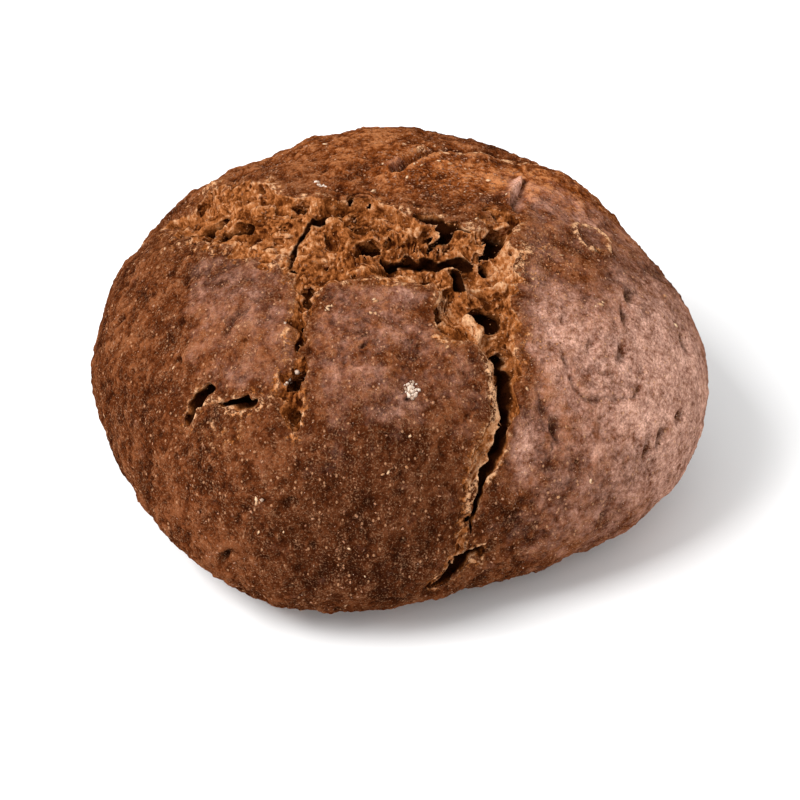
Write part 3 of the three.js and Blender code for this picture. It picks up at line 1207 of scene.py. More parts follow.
    # Painted shade: points sunk this deep, or this deep and near a crack's gap, are darkened to nearly black.
    shade_sink: Pair = (4.6, 8.4)
    shade_gap_sink: Pair = (0.5, 1.8)
    shade_gap: Pair = (-0.6, 0.1)
    # Cavity measures from smoothing, used as painted shade in hollows and pits.
    fine_rounds: int = 3
    fine_depth: float = 0.25
    broad_rounds: int = 24
    broad_depth: float = 1.2

    def sound(self, points: Values) -> Sounding:
        """Finds where points lie on the crust map.

        Args:
            points: Points in millimetres, in the form's own frame.

        Returns:
            Their places on the map, and how deep and how far inside a torn place they are.
        """
        u, v, outside = self.form.lay_flat(points)
        spots = self.crust_map.spots(u, v)
        sink = spots.read(self.crust_map.level) - outside
        reach = np.maximum(spots.read(self.crust_map.tear), spots.read(self.crust_map.gap_edge))
        return Sounding(u, v, spots, sink, reach)

    def field(self, points: Values) -> Values:
        """Measures points against the bread's surface.

        Args:
            points: Points in millimetres, in the form's own frame.

        Returns:
            About how far outside the bread each point is, below 0 inside.
        """
        found = self.sound(points)
        grain = self.noise.heap(points, self.grain, 0.0, self.grain_shift)
        value = grain * (1.0 - covered(self.smooth_plates, found.u, found.v)) - found.sink
        torn = np.flatnonzero(found.reach > -self.torn_margin)
        if len(torn):
            empty = self.void(points[torn], found.u[torn], found.v[torn], found.sink[torn])
            value[torn] = np.maximum(value[torn], -empty)
        return np.maximum(value, -points[:, 2])

    def void(self, points: Values, u: Values, v: Values, sink: Values) -> Values:
        """Measures points against the hollows, cracks and caves where the crust is torn.

        Args:
            points: The points.
            u: Their places to the right on the crust map.
            v: Their places to the back.
            sink: How far they are below the crust.

        Returns:
            About how far outside the empty space each point is, below 0 inside it.
        """
        lip_u, lip_v = self.wavered(points, u, v)
        spots = self.crust_map.spots(lip_u, lip_v)
        wall = smooth_step(spots.read(self.crust_map.tear), 0.0, spots.read(self.crust_map.wall))
        hollow = (sink - wall * spots.read(self.crust_map.floor)) * self.hollow_slope
        hollow = hollow + self.whole_crust * (wall <= 0.0)
        half = spots.read(self.crust_map.gap_half)
        depth = spots.read(self.crust_map.gap_depth)
        narrowing = 1.0 - (1.0 - self.crack_floor) * np.clip(sink / depth, 0.0, 1.0)
        beside = half * (1.0 - narrowing) - spots.read(self.crust_map.gap_edge)
        crack = np.maximum(beside, sink - depth)
        cave = self.to_caves(lip_u, lip_v, sink)
        calm = 1.0 - self.cave_ease * smooth_step(-cave, *self.cave_run)
        empty = np.minimum(np.minimum(hollow, crack), cave)
        return empty - calm * self.roughness(points, u, v, sink)

    def to_caves(self, u: Values, v: Values, sink: Values) -> Values:
        """Measures places to the caves in the torn crumb.

        Args:
            u: Places to the right on the crust map.
            v: Places to the back.
            sink: How far they are below the crust.

        Returns:
            About how far outside the nearest cave each place is, below 0 inside it.
        """
        nearest = np.full(len(sink), FAR)
        for pocket in self.pockets:
            along, across = turned(u, v, pocket.at, pocket.bearing)
            down = (sink - self.cave_heart * pocket.depth) / (self.cave_rise * pocket.depth)
            out = np.sqrt((along / pocket.half[0]) ** 2 + (across / pocket.half[1]) ** 2 + down**2)
            nearest = np.minimum(nearest, (out - 1.0) * pocket.half[1])
        return nearest

    def wavered(self, points: Values, u: Values, v: Values) -> tuple[Values, Values]:
        """Places on the crust map as the torn lips see them, which waver with the depth.

        Args:
            points: The points.
            u: Their places to the right on the crust map.
            v: Their places to the back.

        Returns:
            The wavered places to the right and to the back.
        """
        right, back = (
            self.lip_warp.rise * self.noise.read(self.noise.smooth, points, self.lip_warp.size, shift)
            for shift in self.lip_shifts
        )
        return u + right, v + back

    def roughness(self, points: Values, u: Values, v: Values, sink: Values) -> Values:
        """How far torn crumb is eaten away by its lumps, fibres and pores.

        Args:
            points: The points.
            u: Their places to the right on the crust map.
            v: Their places to the back.
            sink: How far they are below the crust.

        Returns:
            Depths in millimetres, below 0 where crumb stands proud.
        """
        rough = self.noise.heap(points, self.crumb_lumps, *self.lump_shifts)
        strand = np.stack([u, v, sink], axis=1).astype(np.float32)
        swirl = self.fibre_swirl
        for way, shift in enumerate(self.swirl_shifts):
            strand[:, way] += swirl.rise * self.noise.read(self.noise.smooth, points, swirl.size, shift)
        fibre = np.abs(self.noise.read(self.noise.smooth, strand, self.fibre_size, self.fibre_shift))
        rough += self.fibre_rise * (fibre - self.fibre_level)
        warp = self.pore_warp
        moved = warp.rise * self.noise.read(self.noise.smooth, points, warp.size, self.warp_shift)
        cell = self.noise.read(self.noise.cells, points + moved[:, None], self.pore_size, self.pore_shift)
        rough += self.pore_depth * smooth_step(-cell, *self.pore_run)
        spots = self.crust_map.spots(u, v)
        in_hollow = smooth_step(spots.read(self.crust_map.tear), *self.hollow_run)
        in_gap = smooth_step(spots.read(self.crust_map.gap_edge), *self.gap_run)
        eased = self.rough_beside + (1.0 - self.rough_beside) * in_hollow
        eased = eased * (1.0 - self.deep_ease * smooth_step(sink, *self.deep_run))
        eased = eased * (1.0 - self.gap_ease * in_gap)
        return rough * smooth_step(sink, *self.rough_run) * eased

    def build_mesh(self) -> bpy.types.Mesh:
        """Shapes the bread and lays a mesh over it.

        Returns:
            The mesh, thinned to the number of triangles allowed.
        """
        step = self.voxel
        low = np.array([*self.low_corner, -self.layers_below * step], np.float32)
        count = np.ceil((np.array(self.high_corner) - low) / step).astype(int)
        values = np.empty(count, np.float32)
        lines = [low[axis] + step * np.arange(count[axis]) for axis in range(2)]
        x, y = np.meshgrid(*lines, indexing="ij")
        for layer in range(count[2]):
            height = np.full(x.size, low[2] + step * layer)
            points = np.stack([x.ravel(), y.ravel(), height], axis=1).astype(np.float32)
            values[:, :, layer] = self.slice_values(points).reshape(x.shape)
        grid = openvdb.FloatGrid(self.band)
        grid.copyFromArray(values)
        points, quads = grid.convertToQuads(0.0)
        quads = quads[largest_part(len(points), quads.astype(np.int64))]
        used = np.unique(quads)
        points = np.asarray(points, np.float64)[used] * step + low
        points[:, 2] = np.maximum(points[:, 2], 0.0)
        quads = np.searchsorted(used, quads)
        full = make_mesh("bread_full", self.form.to_scene(points), quads)
        return self.thinned(full, self.bareness(points) > MOSTLY)

    def bareness(self, points: Values) -> Values:
        """How far the crust has come away at points of the surface.

        Args:
            points: Points in millimetres, in the form's own frame.

        Returns:
            1 on torn crumb and 0 on whole crust, with a run between them.
        """
        found = self.sound(points)
        torn = smooth_step(found.sink, *self.bare_sink) * smooth_step(found.reach, *self.bare_reach)
        return np.where(points[:, 2] < self.foot_edge, 0.0, torn)

    def slice_values(self, points: Values) -> Values:
        """Measures one level slice of points, closely only near the surface.

        Args:
            points: The points.

        Returns:
            About how far outside the bread each point is, limited to the band.
        """
        found = self.sound(points)
        depth = np.where(found.reach > -self.torn_margin, self.deepest, self.band)
        near = (found.sink > -self.band) & (found.sink < depth)
        near |= (np.abs(points[:, 2]) < self.band) & (found.sink > -self.band)
        values = np.where(found.sink > 0, -self.band, self.band).astype(np.float32)
        values[points[:, 2] < 0] = self.band
        index = np.flatnonzero(near)
        if len(index):
            values[index] = self.field(points[index]).clip(-self.band, self.band)
        return values

    def thinned(self, full: bpy.types.Mesh, bare: Values) -> bpy.types.Mesh:
        """Thins a mesh until its crust and its crumb both keep to the number of triangles allowed.

        Args:
            full: The mesh, which is removed.
            bare: True for each point on the crumb.

        Returns:
            The thinned mesh.
        """
        rough = add_object(full)
        rough.vertex_groups.new(name="crumb").add(np.flatnonzero(bare).tolist(), 1.0, "REPLACE")
        corners = np.empty(4 * len(full.polygons), np.int32)
        full.loops.foreach_get("vertex_index", corners)
        on_crumb = bare[corners].reshape(-1, 4).any(axis=1)
        total = 2 * len(full.polygons)
        for crust, count in ((False, 2 * int(on_crumb.sum())), (True, 2 * int((~on_crumb).sum()))):
            kept = total - max(0, count - self.most_triangles)
            thin = rough.modifiers.new("thin", "DECIMATE")
            thin.vertex_group = "crumb"
            thin.invert_vertex_group = crust
            thin.ratio = kept / total
            total = kept
        shown = rough.evaluated_get(bpy.context.evaluated_depsgraph_get())
        mesh = bpy.data.meshes.new_from_object(shown)
        mesh.name = "bread"
        bpy.data.objects.remove(rough)
        bpy.data.meshes.remove(full)
        return mesh

    def describe(self, mesh: bpy.types.Mesh) -> Surface:
        """Finds what each point of the bread is made of, and the painted shade and sheen it takes.

        Args:
            mesh: The bread's mesh.

        Returns:
            The mesh as arrays, with the values that its material and the strewn pieces read.
        """
        points, triangles, edges, normals = read_mesh(mesh)
        placed = self.form.from_scene(points)
        found = self.sound(placed)
        u, v, spots = found.u, found.v, found.spots
        lips = self.crust_map.spots(*self.wavered(placed.astype(np.float32), u, v))
        sink = np.where(placed[:, 2] < self.foot_edge, 0.0, found.sink)
        torn = self.bareness(placed)
        in_gap = smooth_step(lips.read(self.crust_map.gap_edge), *self.shade_gap)
        # How far each point lies below its smoothed neighbours: the material paints shade with these in pits
        # and hollows, and light on ridges.
        fine, broad = (
            ((relax(placed, edges, rounds) - placed) * normals).sum(axis=1)
            for rounds in (self.fine_rounds, self.broad_rounds)
        )
        flour = covered(self.flour_and_sheen_patches, u, v) * smooth_step(-found.reach, *self.flour_and_sheen_run)
        flour += spots.read(self.crust_map.haze_and_sheen)
        values = {
            "torn": torn,
            "lip": fade(np.minimum(found.reach, 0.0), self.lip_reach) * (1.0 - torn),
            # Painted shade, nearly black in deep cracks and caves.
            "deep": np.maximum(
                smooth_step(sink, *self.shade_sink), smooth_step(sink, *self.shade_gap_sink) * in_gap
            ),
            # Painted shade in broad hollows, lighter on bulges.
            "cavity_shade": np.clip(broad / self.broad_depth, -1.0, 1.0),
            # Painted shade in pits and grooves.
            "crease_shade": spots.read(self.crust_map.crease_shade),
            # Painted shade in small pits, lighter on their ridges.
            "crevice_shade": np.clip(fine / self.fine_depth, -1.0, 1.0),
            # Flour film and painted sheen.
            "flour": flour.clip(0, 1),
            # Redder crust, also painted lighter on the top and rear.
            "warm": covered(self.warm_and_lit_patches, u, v).clip(0, 1),
            # Painted shade at the front, the foot and the caves.
            "dark": covered(self.shade_patches, u, v).clip(0, 1),
            "gold": covered(self.gold_patches, u, v).clip(0, 1),
            "gilt": spots.read(self.crust_map.gilt),
        }
        return Surface(points, triangles, normals, values, np.stack([u, v], axis=1))

    def dress(self, surface: Surface, finish: CrustFinish) -> list[bpy.types.Object]:
        """Puts the bread in the scene in place of the plain solid.

        Args:
            surface: The bread as arrays.
            finish: The finish of its crust and crumb.

        Returns:
            The crust and the torn crumb.
        """
        material = finish.material()
        on_crumb = surface.values["torn"][surface.triangles].mean(axis=1) > MOSTLY
        pieces = []
        for name, chosen in (("crust", ~on_crumb), ("torn_crumb", on_crumb)):
            mesh = surface.part(name, chosen)
            mesh.materials.append(material)
            piece = add_object(mesh)
            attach(piece, BODY)
            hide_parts(NODE)
            pieces.append(piece)
        return pieces


@dataclass(frozen=True)
class Grain:
    """A random pattern: the size of its humps, its number of finer layers, their strength and its stretch."""

    size: float
    detail: float = 2.0
    crispness: float = 0.5
    stretch: Triple = (1.0, 1.0, 1.0)


@dataclass(frozen=True)
class Dots:
    """Dots strewn at random: how far apart, their radius as a share of that, and how many places have one."""

    size: float
    radius: float
    share: float
    stretch: Triple = (1.0, 1.0, 1.0)


class Nodes:
    """A bench for laying out one material's nodes."""

    dot_core: float = 0.55
    choice_run: float = 0.04

    def __init__(self, name: str) -> None:
        """Starts a material with a shader and nothing joined to it.

        Args:
            name: The material's name.
        """
        self.material = bpy.data.materials.new(name)
        self.material.use_nodes = True
        self.tree = self.material.node_tree
        self.tree.nodes.clear()
        self.shader = self.tree.nodes.new("ShaderNodeBsdfPrincipled")
        out = self.tree.nodes.new("ShaderNodeOutputMaterial")
        self.tree.links.new(self.shader.outputs["BSDF"], out.inputs["Surface"])
        self.place = self.tree.nodes.new("ShaderNodeTexCoord").outputs["Object"]

    def join(self, value: Socket | float | Sequence[float], end: Socket) -> None:
        """Joins an output to an input, or sets a plain value on it.

        Args:
            value: The output or the value.
            end: The input.
        """
        if isinstance(value, Socket):
            self.tree.links.new(value, end)
        else:
            end.default_value = value

    def stretched(self, stretch: Triple) -> Socket:
        """Stretches the object's own coordinates, so that a pattern is longer one way.

        Args:
            stretch: How much longer it is each way.

        Returns:
            The coordinates.
        """
        node = self.tree.nodes.new("ShaderNodeMapping")
        self.tree.links.new(self.place, node.inputs["Vector"])
        node.inputs["Scale"].default_value = tuple(1.0 / part for part in stretch)
        return node.outputs["Vector"]

    def noise(self, grain: Grain) -> Socket:
        """Soft random noise.

        Args:
            grain: Its pattern.

        Returns:
            The noise, mostly from 0.25 to 0.75.
        """
        node = self.tree.nodes.new("ShaderNodeTexNoise")
        self.tree.links.new(self.stretched(grain.stretch), node.inputs["Vector"])
        node.inputs["Scale"].default_value = 1.0 / (grain.size * MM)
        node.inputs["Detail"].default_value = grain.detail
        node.inputs["Roughness"].default_value = grain.crispness
        return node.outputs["Fac"]

    def dots(self, dots: Dots) -> Socket:
        """Round dots strewn at random.

        Args:
            dots: Their pattern.

        Returns:
            1 in a dot and 0 elsewhere, with soft edges.
        """
        node = self.tree.nodes.new("ShaderNodeTexVoronoi")
        self.tree.links.new(self.stretched(dots.stretch), node.inputs["Vector"])
        node.inputs["Scale"].default_value = 1.0 / (dots.size * MM)
        split = self.tree.nodes.new("ShaderNodeSeparateColor")
        self.tree.links.new(node.outputs["Color"], split.inputs["Color"])
        inside = self.ranged(node.outputs["Distance"], dots.radius, dots.radius * self.dot_core)
        least = 1.0 - dots.share
        chosen = self.ranged(split.outputs["Red"], least - self.choice_run, least + self.choice_run)
        return self.sum_of("MULTIPLY", inside, chosen)

    def value(self, name: str) -> Socket:
        """Reads a value stored at the mesh's points.

        Args:
            name: The value's name.

        Returns:
            The value.
        """
        node = self.tree.nodes.new("ShaderNodeAttribute")
        node.attribute_name = name
        return node.outputs["Fac"]

    def sum_of(self, kind: str, first: Socket | float, second: Socket | float) -> Socket:
        """Works out one sum.

        Args:
            kind: The kind of sum, such as ADD or MULTIPLY.
            first: Its first number.
            second: Its second number.

        Returns:
            The result.
        """
        node = self.tree.nodes.new("ShaderNodeMath")
        node.operation = kind
        self.join(first, node.inputs[0])
        self.join(second, node.inputs[1])
        return node.outputs["Value"]

    def weighted(self, parts: Sequence[tuple[Socket, float]]) -> Socket:
        """Adds values together, each with its own weight.

        Args:
            parts: The values and their weights.

        Returns:
            The sum.
        """
        total = None
        for value, weight in parts:
            node = self.tree.nodes.new("ShaderNodeMath")
            node.operation = "MULTIPLY_ADD"
            self.join(value, node.inputs[0])
            self.join(weight, node.inputs[1])
            self.join(0.0 if total is None else total, node.inputs[2])
            total = node.outputs["Value"]
        return total

    def ranged(self, value: Socket, start: float, end: float, low: float = 0.0, high: float = 1.0) -> Socket:
        """Rises smoothly from one number to another.

        Args:
            value: What it depends on.
            start: Where the rise begins.
            end: Where it is complete.
            low: The result at the start.
            high: The result at the end.

        Returns:
            The result.
        """
        node = self.tree.nodes.new("ShaderNodeMapRange")
        node.interpolation_type = "SMOOTHSTEP"
        self.join(value, node.inputs["Value"])
        for name, number in (("From Min", start), ("From Max", end), ("To Min", low), ("To Max", high)):
            node.inputs[name].default_value = number
        return node.outputs["Result"]

    def ramp(self, value: Socket, stops: Sequence[tuple[float, Triple]]) -> Socket:
        """Colours a value.

        Args:
            value: The value from 0 to 1.
            stops: Places on the ramp, each with its colour.

        Returns:
            The colour.
        """
        node = self.tree.nodes.new("ShaderNodeValToRGB")
        band = node.color_ramp
        while len(band.elements) < len(stops):
            band.elements.new(0.5)
        for element, (place, colour) in zip(band.elements, stops):
            element.position = place
            element.color = (*colour, 1.0)
        self.tree.links.new(value, node.inputs["Fac"])
        return node.outputs["Color"]

    def blend(self, share: Socket | float, under: Socket | Triple, over: Socket | Triple) -> Socket:
        """Lays one colour over another.

        Args:
            share: How much of the upper colour shows.
            under: The lower colour.
            over: The upper colour.

        Returns:
            The mixed colour.
        """
        node = self.tree.nodes.new("ShaderNodeMix")
        node.data_type = "RGBA"
        inputs = [socket for socket in node.inputs if socket.enabled]
        for value, end in zip((share, under, over), (inputs[0], inputs[-2], inputs[-1])):
            self.join((*value, 1.0) if isinstance(value, tuple) else value, end)
        return next(socket for socket in node.outputs if socket.enabled)

    def bump(self, height: Socket, rise: float, under: Socket | None = None) -> Socket:
        """Roughens the surface.

        Args:
            height: Height from 0 to 1.
            rise: What a height of 1 stands for, in millimetres.
            under: A coarser roughness that this one lies on.

        Returns:
            The roughened normal.
        """
        node = self.tree.nodes.new("ShaderNodeBump")
        node.inputs["Distance"].default_value = rise * MM
        self.tree.links.new(height, node.inputs["Height"])
        if under is not None:
            self.tree.links.new(under, node.inputs["Normal"])
        return node.outputs["Normal"]

    def finish(self, colour: Socket, roughness: Socket, normal: Socket, shine: float) -> bpy.types.Material:
        """Joins the results to the shader.

        Args:
            colour: Base colour.
            roughness: Roughness.
            normal: Roughened normal.
            shine: Specular level, the same all over.

        Returns:
            The finished material.
        """
        self.tree.links.new(colour, self.shader.inputs["Base Color"])
        self.tree.links.new(roughness, self.shader.inputs["Roughness"])
        self.tree.links.new(normal, self.shader.inputs["Normal"])
        self.shader.inputs["Specular IOR Level"].default_value = shine
        return self.material


def srgb(red: int, green: int, blue: int) -> Triple:
    """Turns a colour as it shows on a screen into the scene's own linear numbers.

    Args:
        red: Red from 0 to 255.
        green: Green from 0 to 255.
        blue: Blue from 0 to 255.

    Returns:
        The colour.
    """
    shown = np.array([red, green, blue]) / 255.0
    linear = np.where(shown <= 0.04045, shown / 12.92, ((shown + 0.055) / 1.055) ** 2.4)
    return tuple(float(part) for part in linear)


@dataclass(frozen=True)
class CrustFinish:
    """Dark baked crust with bran specks and flour, and the golden crumb where it is torn, with painted shade
    and sheen.
    """

    stored: tuple[str, ...] = (
        "crevice_shade", "cavity_shade", "crease_shade", "warm", "dark", "flour", "lip", "gold", "gilt", "torn", "deep",
    )
    patterns: tuple[tuple[str, Grain], ...] = (
        ("broad", Grain(14.0, 3.0)),
        ("streak", Grain(6.0, 6.0, 0.62, (1.0, 1.0, 2.6))),
        ("middle", Grain(3.2, 5.0, 0.66, (1.0, 1.0, 1.8))),
        ("fine", Grain(0.8, 3.0, 0.65)),
        ("film_fine", Grain(1.1, 4.0, 0.7)),
        ("film_middle", Grain(3.0, 3.0, 0.6)),
        ("film_spread", Grain(6.0, 6.0, 0.65)),
        ("film_wear", Grain(0.7, 3.0, 0.65)),
        ("grit", Grain(0.5, 2.0, 0.6)),
        ("strand", Grain(0.8, 5.0, 0.72, (1.0, 2.2, 1.0))),
        ("clods", Grain(6.0, 4.0, 0.6)),
        ("flecks", Grain(1.5, 6.0, 0.7)),
        ("dullness", Grain(1.8, 3.0)),
    )
    speck_dots: Dots = Dots(1.5, 0.26, 0.35, (1.0, 1.0, 1.5))

    dark: Triple = srgb(44, 17, 6)
    brown: Triple = srgb(84, 40, 17)
    light: Triple = srgb(126, 72, 42)
    warm_dark: Triple = srgb(68, 27, 6)
    warm_brown: Triple = srgb(126, 62, 22)
    warm_light: Triple = srgb(196, 124, 74)
    # The haze and film colours stand for flour and for painted sheen; their pale ends carry the painted
    # sheen.
    haze_deep: Triple = srgb(112, 64, 48)
    haze_and_sheen_pale: Triple = srgb(208, 154, 132)
    film_deep: Triple = srgb(116, 66, 46)
    film_and_sheen_pale: Triple = srgb(242, 190, 168)
    # Pale specks: partly bran and flour, partly painted glints on the crust's bumps.
    speck_and_glint: Triple = srgb(198, 146, 108)
    crumb_dark: Triple = srgb(54, 21, 6)
    crumb: Triple = srgb(110, 57, 22)
    gold: Triple = srgb(172, 104, 56)
    pale: Triple = srgb(226, 172, 128)
    # Painted shade colour of deep cracks and caves.
    shade_black: Triple = srgb(38, 15, 4)
    shine: float = 0.0

    # The last three terms paint shade into pits, hollows and creases, and light onto ridges.
    tone: Recipe = (
        ("broad", 0.32), ("streak", 0.3), ("middle", 0.32), ("fine", 0.3),
        ("crevice_shade", -0.06), ("cavity_shade", -0.08), ("crease_shade", -0.06),
    )
    tone_stops: Triple = (0.51, 0.62, 0.73)
    warm_stops: Triple = (0.52, 0.62, 0.72)
    shade_share: float = 0.5

    # One term paints shade into the film in hollows.
    film_tone: Recipe = (("film_fine", 0.5), ("film_middle", 0.3), ("streak", 0.3), ("cavity_shade", -0.1))
    film_stops: Pair = (0.43, 0.65)
    film_run: Pair = (0.25, 0.8)
    cover: Recipe = (("flour", 1.0), ("film_spread", 1.2))
    cover_run: Pair = (0.68, 1.5)
    cover_hole: Pair = (1.4, 0.1)
    cover_wear: Range = (0.38, 0.6, 0.55, 0.95)
    cover_sunk: Range = (1.0, 0.2, 0.5, 1.0)

    # Grit mask: partly bran and flour specks, partly painted glints.
    grit_tone: Recipe = (("grit", 1.0), ("middle", 0.4))
    grit_run: Pair = (0.7, 0.9)
    grit_share: float = 0.3
    speck_share: float = 0.55

    # Three of these terms paint shade into the crumb's pores, hollows and caves.
    crumb_tone: Recipe = (
        ("strand", 0.5), ("clods", 0.5), ("crevice_shade", -0.12), ("cavity_shade", -0.26),
        ("gilt", 0.17), ("gold", 0.09), ("dark", -0.1),
    )
    crumb_stops: Range = (0.335, 0.45, 0.56, 0.71)
    lip_run: Range = (0.4, 0.6, 0.15, 0.7)
    fleck_run: Pair = (0.34, 0.66)
    fleck_share: float = 0.9
    bare_run: Pair = (0.65, 0.95)

    roughness_run: Range = (0.3, 0.7, 0.5, 0.78)
    bare_roughness: float = 0.18
    film_ease: Range = (0.0, 0.5, 1.0, 0.7)
    middle_rise: float = 1.1
    fine_rise: float = 0.6
    strand_rise: float = 0.4
    speck_rise: float = 0.12

    def material(self) -> bpy.types.Material:
        """Makes the material.

        Returns:
            The material, which reads the values stored at the bread's points.
        """
        nodes = Nodes("baked_crust")
        given = {name: nodes.value(name) for name in self.stored}
        given |= {name: nodes.noise(grain) for name, grain in self.patterns}
        speck_and_glint = nodes.dots(self.speck_dots)
        grit = nodes.ranged(self.mixed(nodes, given, self.grit_tone), *self.grit_run)

        colour = self.flour_and_sheen(nodes, given, self.baked(nodes, given))
        # Pale grit and specks: partly bran and flour, partly painted glints.
        for share, strength in ((grit, self.grit_share), (speck_and_glint, self.speck_share)):
            colour = nodes.blend(nodes.sum_of("MULTIPLY", share, strength), colour, self.speck_and_glint)
        bare = self.bareness(nodes, given)
        colour = nodes.blend(bare, colour, self.crumbly(nodes, given))
        # Painted shade: deep cracks and caves go nearly black.
        colour = nodes.blend(given["deep"], colour, self.shade_black)

        roughness = nodes.ranged(given["dullness"], *self.roughness_run)
        roughness = nodes.sum_of("ADD", roughness, nodes.sum_of("MULTIPLY", bare, self.bare_roughness))
        smoother = nodes.ranged(given["flour"], *self.film_ease)
        normal = nodes.bump(nodes.sum_of("MULTIPLY", given["middle"], smoother), self.middle_rise)
        normal = nodes.bump(given["fine"], self.fine_rise, normal)
        normal = nodes.bump(nodes.sum_of("MULTIPLY", bare, given["strand"]), self.strand_rise, normal)
        normal = nodes.bump(nodes.sum_of("MAXIMUM", speck_and_glint, grit), self.speck_rise, normal)
        return nodes.finish(colour, roughness, normal, self.shine)

    def mixed(self, nodes: Nodes, given: dict[str, Socket], recipe: Recipe) -> Socket:
        """Adds patterns and stored values together as a recipe says."""
        return nodes.weighted([(given[name], weight) for name, weight in recipe])

    def baked(self, nodes: Nodes, given: dict[str, Socket]) -> Socket:
        """Colours the bare crust.

        Args:
            nodes: The bench.
            given: The patterns and stored values by name.

        Returns:
            The colour, redder and painted lighter at the rear, and darker at the front and foot with painted
            shade.
        """
        tone = self.mixed(nodes, given, self.tone)
        cool = nodes.ramp(tone, tuple(zip(self.tone_stops, (self.dark, self.brown, self.light))))
        warm_shades = (self.warm_dark, self.warm_brown, self.warm_light)
        warm = nodes.ramp(tone, tuple(zip(self.warm_stops, warm_shades)))
        # Redder crust on the top and rear, also painted lighter there.
        colour = nodes.blend(given["warm"], cool, warm)
        # Painted shade: darker crust at the front, the foot and over the caves.
        return nodes.blend(nodes.sum_of("MULTIPLY", given["dark"], self.shade_share), colour, self.dark)

    def flour_and_sheen(self, nodes: Nodes, given: dict[str, Socket], crust: Socket) -> Socket:
        """Lays the film of flour, with painted sheen, over the crust.

        Args:
            nodes: The bench.
            given: The patterns and stored values by name.
            crust: The crust's colour.

        Returns:
            The crust's colour under a film that is worn, and thin in holes and pits.
        """
        tone = self.mixed(nodes, given, self.film_tone)
        thin = nodes.ramp(tone, tuple(zip(self.film_stops, (self.haze_deep, self.haze_and_sheen_pale))))
        thick = nodes.ramp(tone, tuple(zip(self.film_stops, (self.film_deep, self.film_and_sheen_pale))))
        film = nodes.blend(nodes.ranged(given["flour"], *self.film_run), thin, thick)
        share = nodes.ranged(self.mixed(nodes, given, self.cover), *self.cover_run)
        thinned = (("cavity_shade", self.cover_hole), ("film_wear", self.cover_wear), ("crease_shade", self.cover_sunk))
        for name, run in thinned:
            share = nodes.sum_of("MULTIPLY", share, nodes.ranged(given[name], *run))
        return nodes.blend(share, crust, film)

    def crumbly(self, nodes: Nodes, given: dict[str, Socket]) -> Socket:
        """Colours the torn crumb, from dark with painted shade in its pores and hollows to pale on its
        fibres.
        """
        shades = (self.crumb_dark, self.crumb, self.gold, self.pale)
        return nodes.ramp(self.mixed(nodes, given, self.crumb_tone), tuple(zip(self.crumb_stops, shades)))

    def bareness(self, nodes: Nodes, given: dict[str, Socket]) -> Socket:
        """Finds how much of the crumb shows.

        Args:
            nodes: The bench.
            given: The patterns and stored values by name.

        Returns:
            1 on torn crumb and 0 on crust, flecked along the lips and where the crust is rubbed to gold.
        """
        edge = nodes.sum_of("MULTIPLY", given["lip"], nodes.ranged(given["broad"], *self.lip_run))
        edge = nodes.sum_of("MAXIMUM", edge, given["gold"])
        edge = nodes.sum_of("MAXIMUM", edge, given["gilt"])
        edge = nodes.sum_of("MULTIPLY", edge, nodes.ranged(given["flecks"], *self.fleck_run))
        bare = nodes.sum_of("MAXIMUM", given["torn"], edge)
        flecked = nodes.weighted(((bare, 1.0), (given["flecks"], self.fleck_share)))
        return nodes.ranged(flecked, *self.bare_run)


@dataclass(frozen=True)
class SpeckFinish:
    """Finish of small strewn pieces, in two shades."""

    name: str
    pale: Triple
    deep: Triple
    grain: float
    mottle: float = 0.5
    stops: Pair = (0.25, 1.0)
    roughness_run: Range = (0.3, 0.7, 0.7, 0.95)
    rise: float = 0.08
    shine: float = 0.3

    def material(self) -> bpy.types.Material:
        """Makes the material.

        Returns:
            The material, which reads each piece's own shade.
        """
        nodes = Nodes(self.name)
        grain = nodes.noise(Grain(self.grain))
        shade = nodes.sum_of("ADD", nodes.value("shade"), nodes.sum_of("MULTIPLY", grain, self.mottle))
        colour = nodes.ramp(shade, tuple(zip(self.stops, (self.deep, self.pale))))
        roughness = nodes.ranged(grain, *self.roughness_run)
        return nodes.finish(colour, roughness, nodes.bump(grain, self.rise), self.shine)


class Lie(Enum):
    """How a strewn piece lies on the bread."""

    FLAT = "flat"
    TUMBLED = "tumbled"


@dataclass(frozen=True)
class Clump:
    """A place of the crust map where strewn pieces lie close together, with its radius and their number."""

    at: Pair
    radius: float
    count: int

    def chance(self, places: Values) -> Values:
        """How likely each place of the map is to carry a piece of the clump."""
        return np.exp(-((places - np.array(self.at)) ** 2).sum(axis=1) / self.radius**2)


